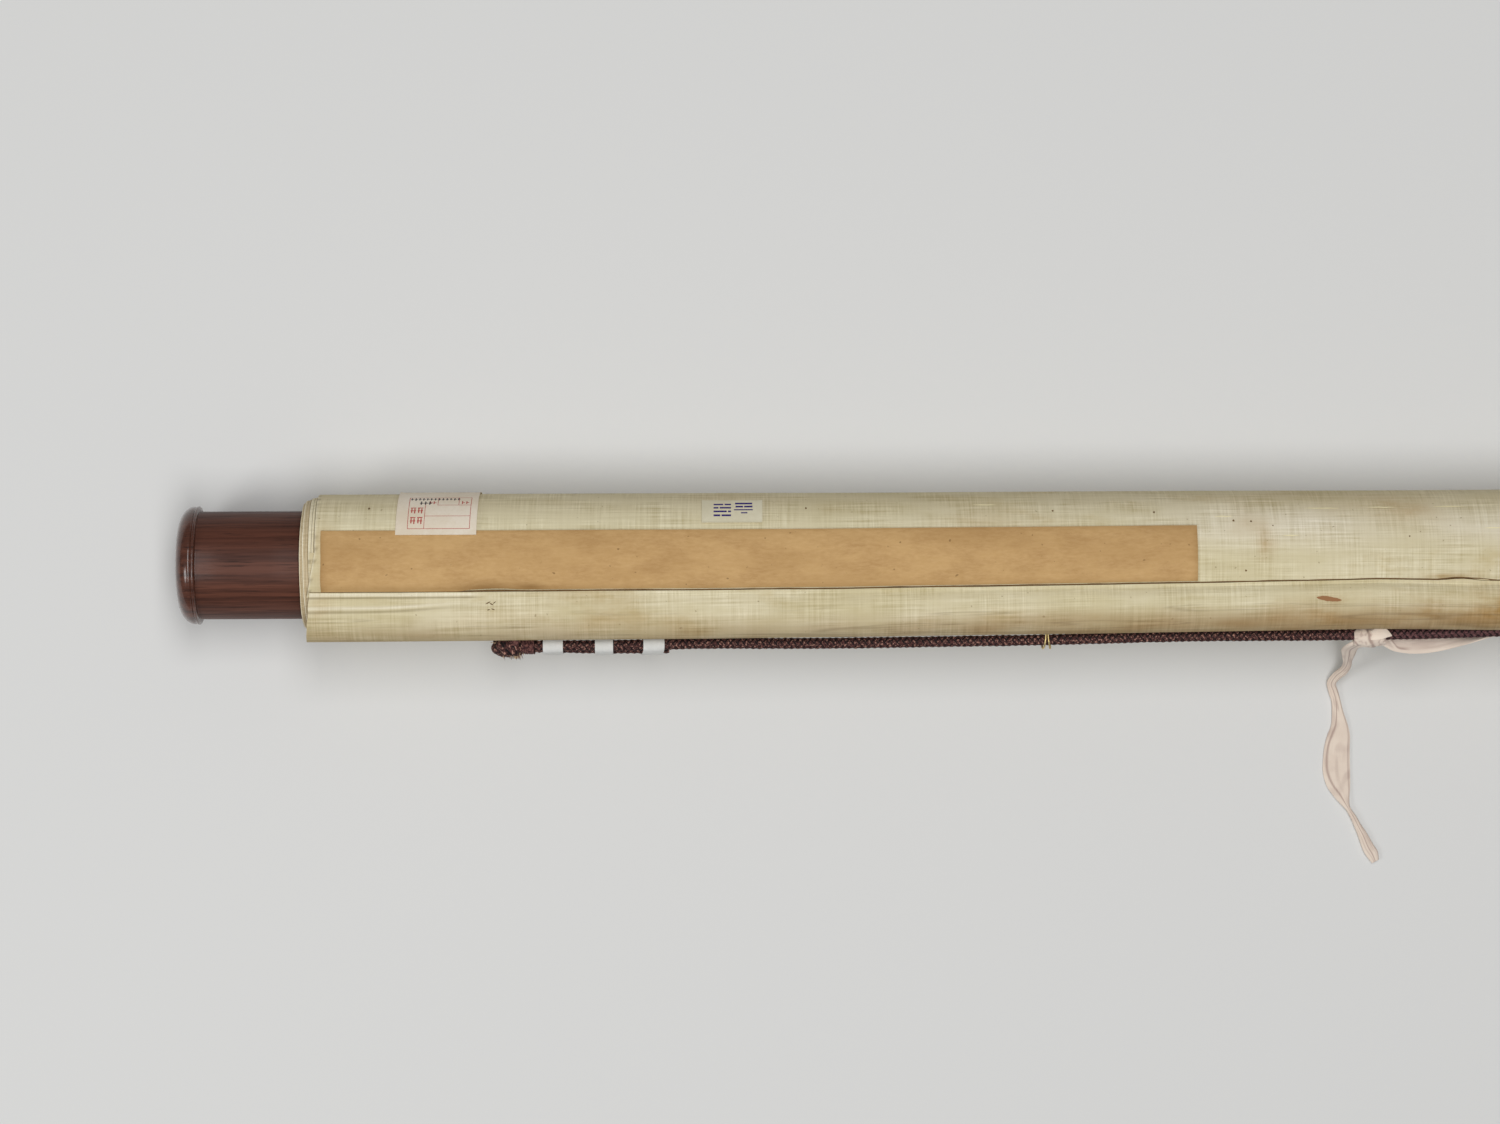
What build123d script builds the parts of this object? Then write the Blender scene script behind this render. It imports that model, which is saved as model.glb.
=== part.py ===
"""Rolled hanging scroll, lying on its flat spot.

Millimetres. X runs along the roll, +Y points away from the hanging cord, +Z is up.
The origin is the middle of the flat spot that the roll lies on.
"""

from build123d import *
import os
from math import atan2, cos, degrees, radians, sin, tan

# Roller and the sheet that is wound on it
sheet_width = 800.8
roller_radius = 14.2
seat_gap = 0.15
sheet_thickness = 0.65
turn_gap = 0.25
turn_count = 13
flat_spot_depth = 0.3

# Drift of the outer turns along the roll, seen as steps at its ends
outer_drift = 6.0
drifting_turns = 2.5
step_angle = 45
stave_pocket_drift = 2.8

# Turned knobs, one at each end of the roller
knob_neck_radius = 20.3
knob_neck_length = 39.1
knob_bead_radius = 22.35
knob_bead_width = 1.1
knob_groove_width = 0.3
knob_groove_depth = 0.5
knob_cap_length = 6.9
knob_cap_rounding = 8.0
knob_dome_height = 0.6
knob_shoulder_chamfer = 0.5
tenon_radius = 8.0
tenon_length = 22.0
tenon_gap = 0.1
tenon_end_gap = 1.0
shoulder_gap = 0.2

# Half-round stave in the pocket at the sheet's outer end
stave_width = 18.0
stave_height = 6.0
stave_edge = 1.2
stave_inset = 0.6
pocket_gap = 0.1
silk_thickness = 0.6
flap_lift = 0.5
stave_middle_angle = 39.5
stave_quarter_angle = 47.5
stave_end_angle = 52.0
seam_middle_angle = 15.0
seam_quarter_angle = 20.9
seam_end_angle = 22.4
flap_glue_angle = 2.5
buried_end_angle = 27.0

# Paper pieces glued to the outside of the roll
paper_thickness = 0.25
paper_gap = 0.12
title_from_end = 8.1
title_length = 325.5
title_top_angle = -29.5
title_seam_gap = 0.35
label_from_end = 35.4
label_width = 30.1
label_top_angle = -113.0
label_bottom_angle = -23.6
stamp_from_end = 149.6
stamp_width = 22.6
stamp_top_angle = -60.5
stamp_bottom_angle = -34.0

# Hanging cord, its rings and the bands round its doubled ends
cord_diameter = 4.2
ring_wire_radius = 0.5
ring_cord_gap = 0.75
ring_shank_length = 7.0
ring_shank_gap = 0.05
outer_ring_x = 321.0
outer_ring_reach = 5.2
inner_ring_x = 121.0
inner_ring_reach = 4.1
band_centres = [307.1, 287.9, 269.6]
band_widths = [7.5, 6.8, 7.9]
band_thickness = 0.4
band_gap = 0.3
whipping_centre = 316.4
whipping_width = 4.6
whipping_thickness = 0.8

# Cloth tie round the middle of the cord
tie_cord_gap = 0.15

cord_radius = cord_diameter / 2
pitch = sheet_thickness + turn_gap
roll_radius = roller_radius + seat_gap + turn_count * pitch + sheet_thickness
join_angle = 80.0
join_shift = pitch / 4
half_width = sheet_width / 2

# The flat spot is cut just under the lowest point of the outermost turn
bottom_radius = roll_radius - join_shift - join_shift * sin(radians(join_angle))
axis_height = bottom_radius - flat_spot_depth


def around(angle, radius, x=0.0):
    """Point at an angle from straight up, positive towards the cord side."""
    turn = radians(angle)
    return Vector(x, -radius * sin(turn), axis_height + radius * cos(turn))


def on_stave(stave_angle, along, out, x):
    """Point in the stave's own section: along its flat face, and out from the axis."""
    turn = radians(stave_angle)
    y = -along * cos(turn) - out * sin(turn)
    z = axis_height - along * sin(turn) + out * cos(turn)
    return Vector(x, y, z)


def blend_along(x, end, quarter, middle):
    """Value at x, straight between the roll's middle, quarters and ends."""
    share = min(abs(x) / half_width, 1.0)
    if share < 0.5:
        return middle + (quarter - middle) * share / 0.5
    return quarter + (end - quarter) * (share - 0.5) / 0.5


def seam_angle(x):
    return blend_along(x, seam_end_angle, seam_quarter_angle, seam_middle_angle)


def stave_angle(x):
    return blend_along(x, stave_end_angle, stave_quarter_angle, stave_middle_angle)


def drift_at(winding):
    """How far a turn has drifted along the roll, by its winding angle from the outer end."""
    if winding < 0:
        share = -winding / (90 + buried_end_angle - join_angle)
        return drift_at(0) + (stave_pocket_drift - drift_at(0)) * min(share, 1.0)
    return outer_drift * max(1 - winding / (drifting_turns * 360), 0.0)


def closed_face(*lines):
    """Flat face inside lines that follow each other."""
    return make_face([edge for line in lines for edge in line.edges()])


def ring_piece(start, size, radius, shift, x_low, x_high):
    """Length of one turn of the sheet, bent about a centre that is shifted along the join."""
    centre = (shift * cos(radians(join_angle)), axis_height + shift * sin(radians(join_angle)))
    outer = CenterArc(centre, radius, start, size)
    inner = CenterArc(centre, radius - sheet_thickness, start, size)
    section = closed_face(outer, Line(outer @ 1, inner @ 1), inner, Line(inner @ 0, outer @ 0))
    section = Plane.YZ * section
    return Pos(x_low, 0, 0) * extrude(section, amount=x_high - x_low, dir=(1, 0, 0))


def winding_piece(winding, size):
    """Piece of the spiral from a winding angle inwards; both lie in one half turn."""
    half_turn = int((winding + size / 2) // 180)
    whole_turns = (half_turn - half_turn % 2) // 2
    if half_turn % 2 == 0:
        shift = join_shift
        radius = roll_radius - join_shift - whole_turns * pitch
    else:
        shift = -join_shift
        radius = roll_radius - 3 * join_shift - whole_turns * pitch
    drift = drift_at(winding + size / 2)
    start = join_angle - winding - size
    return ring_piece(start, size, radius, shift, drift - half_width, drift + half_width)


def wound_sheet():
    buried = 90 + buried_end_angle - join_angle
    drift_end = 180 * round(2 * drifting_turns)
    pieces = [winding_piece(-buried, buried / 2), winding_piece(-buried / 2, buried / 2)]
    pieces += [winding_piece(w, step_angle) for w in range(0, drift_end, step_angle)]
    pieces += [winding_piece(w, 180) for w in range(drift_end, turn_count * 360, 180)]
    return pieces[0].fuse(*pieces[1:])


def pocket_outline(x):
    """Silk round the stave at x: the sheet passes under it and its flap is glued outside."""
    centre = stave_angle(x)
    seam = seam_angle(x)
    flat = roll_radius + pocket_gap + pocket_gap
    side = stave_width / 2 + pocket_gap + silk_thickness
    shoulder = flat + stave_edge
    crown = flat + stave_height + pocket_gap + silk_thickness
    under = roll_radius - sheet_thickness - 0.05
    inner_start = around(seam, under, x)
    inner_middle = around((seam + centre) / 2, under + 0.05, x)
    inner_end = around(centre, under + 0.1, x)
    bend_start = on_stave(centre, side - 1.6, under + 0.1, x)
    bend_middle = on_stave(centre, side - 0.25, flat - 0.1, x)
    far_shoulder = on_stave(centre, side, shoulder, x)
    crown_top = on_stave(centre, 0, crown, x)
    near_shoulder = on_stave(centre, -side, shoulder, x)
    flap_start = around(seam + flap_glue_angle, roll_radius + flap_lift, x)
    flap_middle = around(seam + flap_glue_angle / 2, roll_radius + flap_lift, x)
    flap_edge = around(seam, roll_radius + flap_lift, x)
    return closed_face(
        ThreePointArc(inner_start, inner_middle, inner_end),
        Line(inner_end, bend_start),
        ThreePointArc(bend_start, bend_middle, far_shoulder),
        ThreePointArc(far_shoulder, crown_top, near_shoulder),
        Line(near_shoulder, flap_start),
        ThreePointArc(flap_start, flap_middle, flap_edge),
        Line(flap_edge, inner_start),
    )


def half_round(x, gap):
    """Section of the stave at x, larger all round by the gap."""
    centre = stave_angle(x)
    flat = roll_radius + 2 * pocket_gap - gap
    side = stave_width / 2 + gap
    shoulder = flat + stave_edge + gap
    crown = flat + stave_height + 2 * gap
    near_foot = on_stave(centre, -side, flat, x)
    far_foot = on_stave(centre, side, flat, x)
    far_shoulder = on_stave(centre, side, shoulder, x)
    crown_top = on_stave(centre, 0, crown, x)
    near_shoulder = on_stave(centre, -side, shoulder, x)
    return closed_face(
        Line(near_foot, far_foot),
        Line(far_foot, far_shoulder),
        ThreePointArc(far_shoulder, crown_top, near_shoulder),
        Line(near_shoulder, near_foot),
    )


def stations(x_low, x_high):
    """Places along the roll where the stave's bow is set out."""
    return [x_low, -half_width / 2, 0.0, half_width / 2, x_high]


def stave_bar(x_low, x_high, gap):
    return loft([half_round(x, gap) for x in stations(x_low, x_high)], ruled=True)


def ring_hole_and_direction(x, reach):
    """Centre of a cord ring at x, and the way out of the stave's far edge there."""
    centre = stave_angle(x)
    out = roll_radius + 2 * pocket_gap + stave_edge / 2
    far_edge = stave_width / 2 + pocket_gap + silk_thickness
    ring_centre = on_stave(centre, far_edge + reach, out, x)
    edge = on_stave(centre, far_edge, out, x)
    return ring_centre, (ring_centre - edge).normalized()


def shank(x, reach, radius):
    ring_centre, outwards = ring_hole_and_direction(x, reach)
    neck = ring_centre - outwards * (cord_radius + ring_cord_gap + ring_wire_radius)
    length = ring_shank_length + reach - cord_radius - ring_cord_gap
    plane = Plane(origin=neck, z_dir=-outwards)
    return plane * extrude(Circle(radius), amount=length)


def cord_ring(x, reach):
    """Wire ring that the cord runs through, with the shank that is driven into the stave."""
    ring_centre, outwards = ring_hole_and_direction(x, reach)
    middle_radius = cord_radius + ring_cord_gap + ring_wire_radius
    wire = Pos(middle_radius, 0, 0) * RegularPolygon(ring_wire_radius, 6)
    plane = Plane(origin=ring_centre, x_dir=outwards, z_dir=(1, 0, 0))
    ring = plane * revolve(Plane.XZ * wire, Axis.Z)
    return ring + shank(x, reach, ring_wire_radius)


ring_places = [
    (-outer_ring_x, outer_ring_reach),
    (-inner_ring_x, inner_ring_reach),
    (inner_ring_x, inner_ring_reach),
    (outer_ring_x, outer_ring_reach),
]


def scroll_roll():
    low = stave_pocket_drift - half_width
    high = stave_pocket_drift + half_width
    pocket = loft([pocket_outline(x) for x in stations(low, high)], ruled=True)
    roll = wound_sheet() + pocket
    roll -= stave_bar(low - 1, high + 1, pocket_gap)
    for x, reach in ring_places:
        roll -= shank(x, reach, ring_wire_radius + ring_shank_gap)
    floor = Pos(0, 0, -roll_radius) * Box(2 * sheet_width, 4 * roll_radius, 2 * roll_radius)
    return roll - floor


def top_stave():
    low = stave_pocket_drift - half_width + stave_inset
    high = stave_pocket_drift + half_width - stave_inset
    stave = stave_bar(low, high, 0)
    for x, reach in ring_places:
        stave -= shank(x, reach, ring_wire_radius + ring_shank_gap)
    return stave


def roller():
    shoulder = half_width + shoulder_gap
    rod = Cylinder(roller_radius, 2 * shoulder, rotation=(0, 90, 0))
    tenons = Cylinder(tenon_radius, 2 * (shoulder + tenon_length), rotation=(0, 90, 0))
    return Pos(0, 0, axis_height) * (rod + tenons)


def knob(side):
    """Turned end knob: neck, bead between two grooves, and a cushion-shaped cap."""
    socket_depth = tenon_length + tenon_end_gap
    socket_radius = tenon_radius + tenon_gap
    bead_start = knob_neck_length + knob_groove_width
    bead_end = bead_start + knob_bead_width
    cap_start = bead_end + knob_groove_width
    cap_radius = knob_bead_radius - 0.15
    groove_radius = knob_bead_radius - knob_groove_depth
    rounding_start = cap_start + 0.5
    flat_radius = cap_radius - knob_cap_rounding
    rounding_length = knob_cap_length - 0.5 - knob_dome_height
    cap_face = rounding_start + rounding_length
    dome_radius = (flat_radius**2 + knob_dome_height**2) / (2 * knob_dome_height)
    dome_centre = cap_face + knob_dome_height - dome_radius
    dome_angle = degrees(atan2(flat_radius, dome_radius - knob_dome_height))
    chamfer = knob_shoulder_chamfer
    bead_middle = (bead_start + bead_end) / 2
    outline = [
        Polyline(
            (socket_depth, 0),
            (socket_depth, socket_radius),
            (0, socket_radius),
            (0, knob_neck_radius - chamfer),
            (chamfer, knob_neck_radius),
            (knob_neck_length, knob_neck_radius),
            (bead_start, groove_radius),
        ),
        ThreePointArc((bead_start, groove_radius), (bead_middle, knob_bead_radius), (bead_end, groove_radius)),
        Polyline((bead_end, groove_radius), (cap_start, groove_radius), (rounding_start, cap_radius)),
        EllipticalCenterArc(
            (rounding_start, flat_radius), rounding_length, knob_cap_rounding, start_angle=90, arc_size=-90
        ),
        CenterArc((dome_centre, 0), dome_radius, dome_angle, -dome_angle),
        Line((cap_face + knob_dome_height, 0), (socket_depth, 0)),
    ]
    turned = revolve(closed_face(*outline), Axis.X)
    if side < 0:
        turned = mirror(turned, Plane.YZ)
    return Pos(side * (half_width + shoulder_gap), 0, axis_height) * turned


def paper_section(x, top, bottom, top_radius, bottom_radius):
    """Thin curved strip across the roll, at angles from straight up."""
    middle = (top + bottom) / 2
    middle_radius = (top_radius + bottom_radius) / 2
    thickness = paper_thickness
    outer = ThreePointArc(
        around(top, top_radius + thickness, x),
        around(middle, middle_radius + thickness, x),
        around(bottom, bottom_radius + thickness, x),
    )
    inner = ThreePointArc(
        around(bottom, bottom_radius, x), around(middle, middle_radius, x), around(top, top_radius, x)
    )
    return closed_face(outer, Line(outer @ 1, inner @ 0), inner, Line(inner @ 1, outer @ 0))


def title_slip():
    """Long paper slip beside the seam, its lower edge cut along the seam."""
    radius = roll_radius + paper_gap
    left = title_from_end - half_width

    def section(x):
        bottom = seam_angle(x) - degrees(title_seam_gap / roll_radius)
        return paper_section(x, title_top_angle, bottom, radius, radius)

    return loft([section(x) for x in (left, -half_width / 2, left + title_length)], ruled=True)


def corner_label():
    """Paper label over the top limb, its lower edge lying on the title slip."""
    over_slip = roll_radius + 2 * paper_gap + paper_thickness
    on_silk = roll_radius - paper_gap
    left = label_from_end - half_width
    section = paper_section(left, label_top_angle, label_bottom_angle, on_silk, over_slip)
    return extrude(section, amount=label_width, dir=(1, 0, 0))


def stamp_label():
    radius = roll_radius + paper_gap
    left = stamp_from_end - half_width
    section = paper_section(left, stamp_top_angle, stamp_bottom_angle, radius, radius)
    return extrude(section, amount=stamp_width, dir=(1, 0, 0))


# Route of the cord: left tail, back through the left ring, along the stave's edge, and so on
left_end_route = [
    (-263.5, -31.7, 27.9),
    (-281.0, -31.9, 27.6),
    (-298.0, -31.6, 27.5),
    (-309.3, -31.4, 26.9),
    (-317.2, -31.3, 23.3),
    (-326.8, -31.0, 22.6),
    (-326.6, -30.8, 32.3),
    (-316.0, -30.7, 32.0),
    (-302.0, -30.6, 32.1),
    (-281.0, -30.8, 31.9),
]
middle_route = [
    (-250.0, -29.9, 32.4),
    (-208.0, -30.3, 33.6),
    (-160.0, -29.7, 34.7),
    (-119.0, -29.2, 36.1),
    (-76.0, -28.0, 36.3),
    (-28.0, -27.9, 36.6),
    (18.0, -27.6, 36.7),
    (56.0, -26.3, 36.9),
    (92.0, -27.6, 36.2),
    (123.0, -29.2, 36.1),
    (165.0, -29.9, 34.9),
    (210.0, -30.1, 33.4),
    (252.0, -29.9, 32.3),
]
right_end_route = [(-x, y, z) for x, y, z in reversed(left_end_route)]
cord_route = left_end_route + middle_route + right_end_route


def fillet_radii(points):
    """Largest arc that each corner's two runs allow: 0.45 of the shorter one."""
    radii = []
    for before, corner, after in zip(points, points[1:], points[2:]):
        arriving = Vector(corner) - Vector(before)
        leaving = Vector(after) - Vector(corner)
        half_turn = radians(arriving.get_angle(leaving) / 2)
        radii.append(0.45 * min(arriving.length, leaving.length) / tan(half_turn))
    return radii


def cord_tube(radius):
    path = FilletPolyline(*cord_route, radius=fillet_radii(cord_route))
    return sweep(Plane(origin=path @ 0, z_dir=path % 0) * Circle(radius), path=path), path


def strand_centre(path, x, upper):
    """Where the cord's path crosses the plane at x, on its upper or its lower strand."""
    crossings = [
        edge.intersect(Plane(origin=(x, 0, 0), z_dir=(1, 0, 0))) for edge in path.edges()
    ]
    points = [v.center() for found in crossings if found for v in found]
    points.sort(key=lambda point: point.Z)
    return points[-1] if upper else points[0]


def sleeve_section(path, x, radius):
    """Oval round both strands of the doubled cord where they cross the plane at x."""
    upper = strand_centre(path, x, True)
    lower = strand_centre(path, x, False)
    lean = degrees(atan2(upper.Z - lower.Z, upper.Y - lower.Y))
    plane = Plane(origin=(upper + lower) / 2, x_dir=(0, 1, 0), z_dir=(1, 0, 0))
    return plane * (Rot(0, 0, lean) * SlotCenterToCenter((upper - lower).length, 2 * radius))


def cord_sleeve(path, x, width, gap, thickness):
    """Oval sleeve round both strands of the doubled cord, centred at x."""
    inside = cord_radius + gap
    ends = (x - width / 2, x + width / 2)
    outer = loft([sleeve_section(path, end, inside + thickness) for end in ends], ruled=True)
    hole = loft([sleeve_section(path, end, inside) for end in ends], ruled=True)
    return outer - hole


# Cloth tie, as stations: centre, half width vector and thickness.
# The tail lies on the ground, rises to the knot round the cord, and a slack loop runs on.
tie_tail = [
    ((6.2, -115.2, 0.9), (1.3, 0.7, 0), 1.4),
    ((5.0, -112.4, 1.0), (2.1, 1.0, 0), 1.7),
    ((3.3, -109.6, 1.1), (2.0, 1.0, 0), 1.8),
    ((1.3, -105.1, 1.1), (1.6, 0.8, 0), 1.9),
    ((-0.5, -101.7, 1.1), (1.2, 0.6, 0), 1.9),
    ((-2.2, -98.3, 1.2), (1.0, 0.5, 0), 2.0),
    ((-4.2, -95.0, 1.2), (0.8, 0.5, 0), 2.1),
    ((-5.6, -92.0, 1.1), (1.9, 0.8, 0), 1.8),
    ((-6.6, -88.9, 0.9), (3.2, 1.2, 0), 1.4),
    ((-7.8, -85.4, 0.8), (4.5, 0.9, 0), 1.2),
    ((-8.5, -80.9, 0.7), (5.2, 0.2, 0), 1.1),
    ((-8.5, -75.6, 0.7), (5.1, 0.0, 0), 1.1),
    ((-8.2, -71.0, 0.7), (4.8, -0.2, 0), 1.1),
    ((-7.6, -67.0, 0.7), (4.3, -0.2, 0), 1.2),
    ((-7.3, -63.0, 0.8), (3.2, 0.0, 0), 1.4),
    ((-8.0, -58.0, 0.9), (2.2, 0.0, 0), 1.6),
    ((-8.6, -53.5, 1.0), (1.7, 0.3, 0), 1.8),
    ((-9.8, -49.8, 1.3), (1.8, 0.9, 0.2), 1.7),
    ((-10.4, -46.8, 3.0), (1.5, 0.2, 1.0), 1.4),
    ((-8.9, -43.9, 6.6), (1.0, 0.4, 1.2), 1.4),
    ((-7.1, -41.2, 12.0), (1.1, 0.8, 0.6), 1.3),
    ((-6.6, -38.9, 17.0), (1.3, 0.3, 0.2), 1.3),
    ((-7.1, -35.9, 24.0), (2.4, 0.2, 0), 1.2),
    ((-7.3, -33.0, 31.0), (3.1, 0.2, 0), 1.2),
    ((-5.0, -31.2, 35.6), (3.2, -0.4, 0.6), 1.6),
    ((-1.0, -30.4, 37.4), (1.6, -2.4, 2.0), 2.4),
]
tie_loop = [
    ((4.0, -29.6, 34.2), (0.2, -3.0, -0.8), 2.0),
    ((9.0, -30.2, 33.2), (0.0, -3.9, -0.5), 1.2),
    ((15.0, -30.6, 32.7), (0.0, -4.4, 0.1), 1.1),
    ((21.5, -30.4, 32.4), (0.0, -4.4, 0.5), 1.1),
    ((28.5, -29.9, 32.0), (0.0, -3.7, 1.1), 1.1),
    ((36.5, -29.1, 31.0), (0.0, -2.3, 2.7), 1.1),
    ((44.5, -28.1, 30.0), (0.0, -0.9, 4.2), 1.1),
    ((53.0, -27.5, 29.2), (0.0, -0.2, 4.6), 1.1),
    ((63.0, -27.6, 27.8), (0.0, 0.0, 4.6), 1.1),
    ((72.0, -27.7, 25.9), (0.3, 0.0, 4.4), 1.1),
]
knot_low_x = -6.4
knot_high_x = 7.1
knot_sides = 10


def skin(sections):
    """Solid inside flat triangles drawn between sections with the same number of corners."""
    faces = [Face(Wire.make_polygon(sections[0])), Face(Wire.make_polygon(sections[-1]))]
    for one, two in zip(sections, sections[1:]):
        for here, corner in enumerate(one):
            following = (here + 1) % len(one)
            faces.append(Face(Wire.make_polygon([corner, one[following], two[following]])))
            faces.append(Face(Wire.make_polygon([corner, two[following], two[here]])))
    return Solid(Shell(faces))


def tape(places):
    """Cloth tape through its stations, each a thin rectangle across the tape's run."""
    sections = []
    for index, (centre, across, thickness) in enumerate(places):
        before = Vector(places[max(index - 1, 0)][0])
        after = Vector(places[min(index + 1, len(places) - 1)][0])
        half = Vector(across)
        normal = (after - before).cross(half).normalized() * (thickness / 2)
        middle = Vector(centre)
        sections.append(
            [middle - half - normal, middle + half - normal, middle + half + normal, middle - half + normal]
        )
    return skin(sections)


def tie_knot(path):
    """Lumpy knot round the cord, thickest in its middle."""
    sizes = [(0.0, 2.8, 2.9), (0.22, 3.6, 3.7), (0.55, 3.8, 3.8), (0.8, 3.65, 3.5), (1.0, 2.9, 2.8)]
    sections = []
    for share, half_wide, half_high in sizes:
        x = knot_low_x + share * (knot_high_x - knot_low_x)
        centre = strand_centre(path, x, True) + Vector(0, -0.9, -0.4)
        corners = []
        for side in range(knot_sides):
            turn = radians(360 * (side + 0.5) / knot_sides)
            corners.append(centre + Vector(0, half_wide * cos(turn), half_high * sin(turn)))
        sections.append(corners)
    return skin(sections)


def tie_ribbon(path):
    tied = tie_knot(path) + tape(tie_tail) + tape(tie_loop)
    return tied - cord_tube(cord_radius + tie_cord_gap)[0]


def main():
    os.makedirs("parts", exist_ok=True)
    cord, path = cord_tube(cord_radius)
    shapes = {
        "roller": roller(),
        "knob_left": knob(-1),
        "knob_right": knob(1),
        "scroll_roll": scroll_roll(),
        "top_stave": top_stave(),
        "title_slip": title_slip(),
        "corner_label": corner_label(),
        "stamp_label": stamp_label(),
        "cord_rings": Compound(children=[cord_ring(x, reach) for x, reach in ring_places]),
        "hanging_cord": cord,
        "tie_ribbon": tie_ribbon(path),
    }
    for side, name in ((-1, "left"), (1, "right")):
        shapes[f"cord_whipping_{name}"] = cord_sleeve(
            path, side * whipping_centre, whipping_width, band_gap, whipping_thickness
        )
        for number, (centre, width) in enumerate(zip(band_centres, band_widths), start=1):
            shapes[f"cord_band_{name}_{number}"] = cord_sleeve(
                path, side * centre, width, band_gap, band_thickness
            )
    for node, shape in shapes.items():
        export_step(shape, f"parts/{node}.step")
    print("cord radii", [round(radius, 1) for radius in fillet_radii(cord_route)])
    section_area = Face(Wire.make_circle(cord_radius)).area
    print("cord length", round(path.length, 1), "tube volume over section x length",
          round(cord.volume / (section_area * path.length), 4))


main()
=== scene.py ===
from math import asin, atan2, ceil, cos, degrees, exp, floor, pi, radians, sin, sqrt

import bpy
import numpy as np
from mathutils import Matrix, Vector, noise


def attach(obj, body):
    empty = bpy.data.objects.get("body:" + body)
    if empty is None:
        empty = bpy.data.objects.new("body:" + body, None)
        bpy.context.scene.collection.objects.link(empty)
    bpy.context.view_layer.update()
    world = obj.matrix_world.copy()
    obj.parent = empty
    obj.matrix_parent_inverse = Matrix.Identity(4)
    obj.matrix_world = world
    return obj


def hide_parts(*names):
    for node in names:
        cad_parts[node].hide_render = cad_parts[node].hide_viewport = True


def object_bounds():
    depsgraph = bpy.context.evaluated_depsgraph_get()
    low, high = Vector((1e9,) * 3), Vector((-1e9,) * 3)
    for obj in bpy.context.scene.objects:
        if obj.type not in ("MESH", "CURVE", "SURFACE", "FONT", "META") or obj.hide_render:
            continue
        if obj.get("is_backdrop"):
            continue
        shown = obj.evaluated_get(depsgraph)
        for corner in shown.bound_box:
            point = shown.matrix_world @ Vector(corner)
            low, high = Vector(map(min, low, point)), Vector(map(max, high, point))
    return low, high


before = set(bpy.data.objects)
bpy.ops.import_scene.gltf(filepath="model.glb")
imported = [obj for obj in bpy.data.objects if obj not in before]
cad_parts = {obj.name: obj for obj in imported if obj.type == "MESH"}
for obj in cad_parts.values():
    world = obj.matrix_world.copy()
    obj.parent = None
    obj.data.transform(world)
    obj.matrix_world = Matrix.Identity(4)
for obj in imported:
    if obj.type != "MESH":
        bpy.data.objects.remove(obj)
cad_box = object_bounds()

MM = 0.001

# Sizes in millimetres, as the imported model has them
HALF_WIDTH = 400.4
ROLL_RADIUS = 26.7
PITCH = 0.9
SHEET = 0.65
AXIS_HEIGHT = 25.953
OUTER_DRIFT = 6.0
POCKET_DRIFT = 2.8
STAVE_SIDE = 9.7
CORD_RADIUS = 2.1

# A winding is the angle in degrees that the sheet has turned inwards since it left the pocket's seam
OUTER_START = -10
BURIED = 37
DRIFTING_WINDING = 2.5 * 360
LAST_WINDING = 13 * 360

# Millimetres on the roll and of UV for one degree, and the silk's lowest height
ARC = pi / 180 * ROLL_RADIUS
WINDING_UV = 0.46
LOWEST = 0.02

# Camera, in metres and degrees; the photograph is 1500 pixels wide, each 0.3834 mm on the floor
CAMERA_PLACE = (-232.9 * MM, 0.44 * MM, 1.6)
CAMERA_ROLL = -0.243
FLOOR_SEEN = 1500 * 0.3834 * MM
SENSOR = 36

# How far marks lie over the silk, in millimetres, and the strength of the world's even light
MARK_HEIGHT = 0.05
WORLD_LIGHT = 0.13


# Small maths

def lerp(a, b, t):
    return a + (b - a) * t


def rise(low, high, value):
    """0 up to the low value, 1 from the high one, and smooth between."""
    t = min(max((value - low) / (high - low), 0.0), 1.0)
    return t * t * (3 - 2 * t)


def hill(value, centre, width):
    """1 at the centre, falling smoothly to 0 one width away."""
    t = min(abs(value - centre) / width, 1.0)
    return (1 - t * t) ** 2


def wander(x, y, z=0.0):
    """Smooth noise between about -1 and 1."""
    return noise.noise(Vector((x, y, z)))


def spread(low, high, count):
    """Even values from low to high, both included."""
    return [lerp(low, high, k / count) for k in range(count + 1)]


def circle(count):
    """Even turns round a circle, in radians."""
    return [2 * pi * k / count for k in range(count)]


def through(stations, samples):
    """Smooth curve through stations (tuples of the same length), by Catmull-Rom."""
    points = [np.array(p, float) for p in stations]
    points = [2 * points[0] - points[1]] + points + [2 * points[-1] - points[-2]]
    result = []
    spans = len(stations) - 1
    for k in range(samples + 1):
        place = min(k * spans / samples, spans - 1e-9)
        i = int(place)
        t = place - i
        a, b, c, d = points[i:i + 4]
        result.append(0.5 * (2 * b + (c - a) * t + (2 * a - 5 * b + 4 * c - d) * t**2
                             + (3 * b - a - 3 * c + d) * t**3))
    return result


# Meshes

def add_object(name, data):
    added = bpy.data.objects.new(name, data)
    bpy.context.scene.collection.objects.link(added)
    return added


def mesh_object(name, vertices, faces, materials):
    """Mesh object from vertices in millimetres."""
    mesh = bpy.data.meshes.new(name)
    mesh.from_pydata([tuple(c * MM for c in v) for v in vertices], [], faces)
    for material in materials:
        mesh.materials.append(material)
    return add_object(name, mesh)


def set_attribute(piece, name, values):
    """Colour attribute from (red, green, blue) for each vertex."""
    layer = piece.data.attributes.new(name, "FLOAT_COLOR", "POINT")
    data = np.ones((len(values), 4), np.float32)
    data[:, :3] = values
    layer.data.foreach_set("color", data.ravel())


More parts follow.
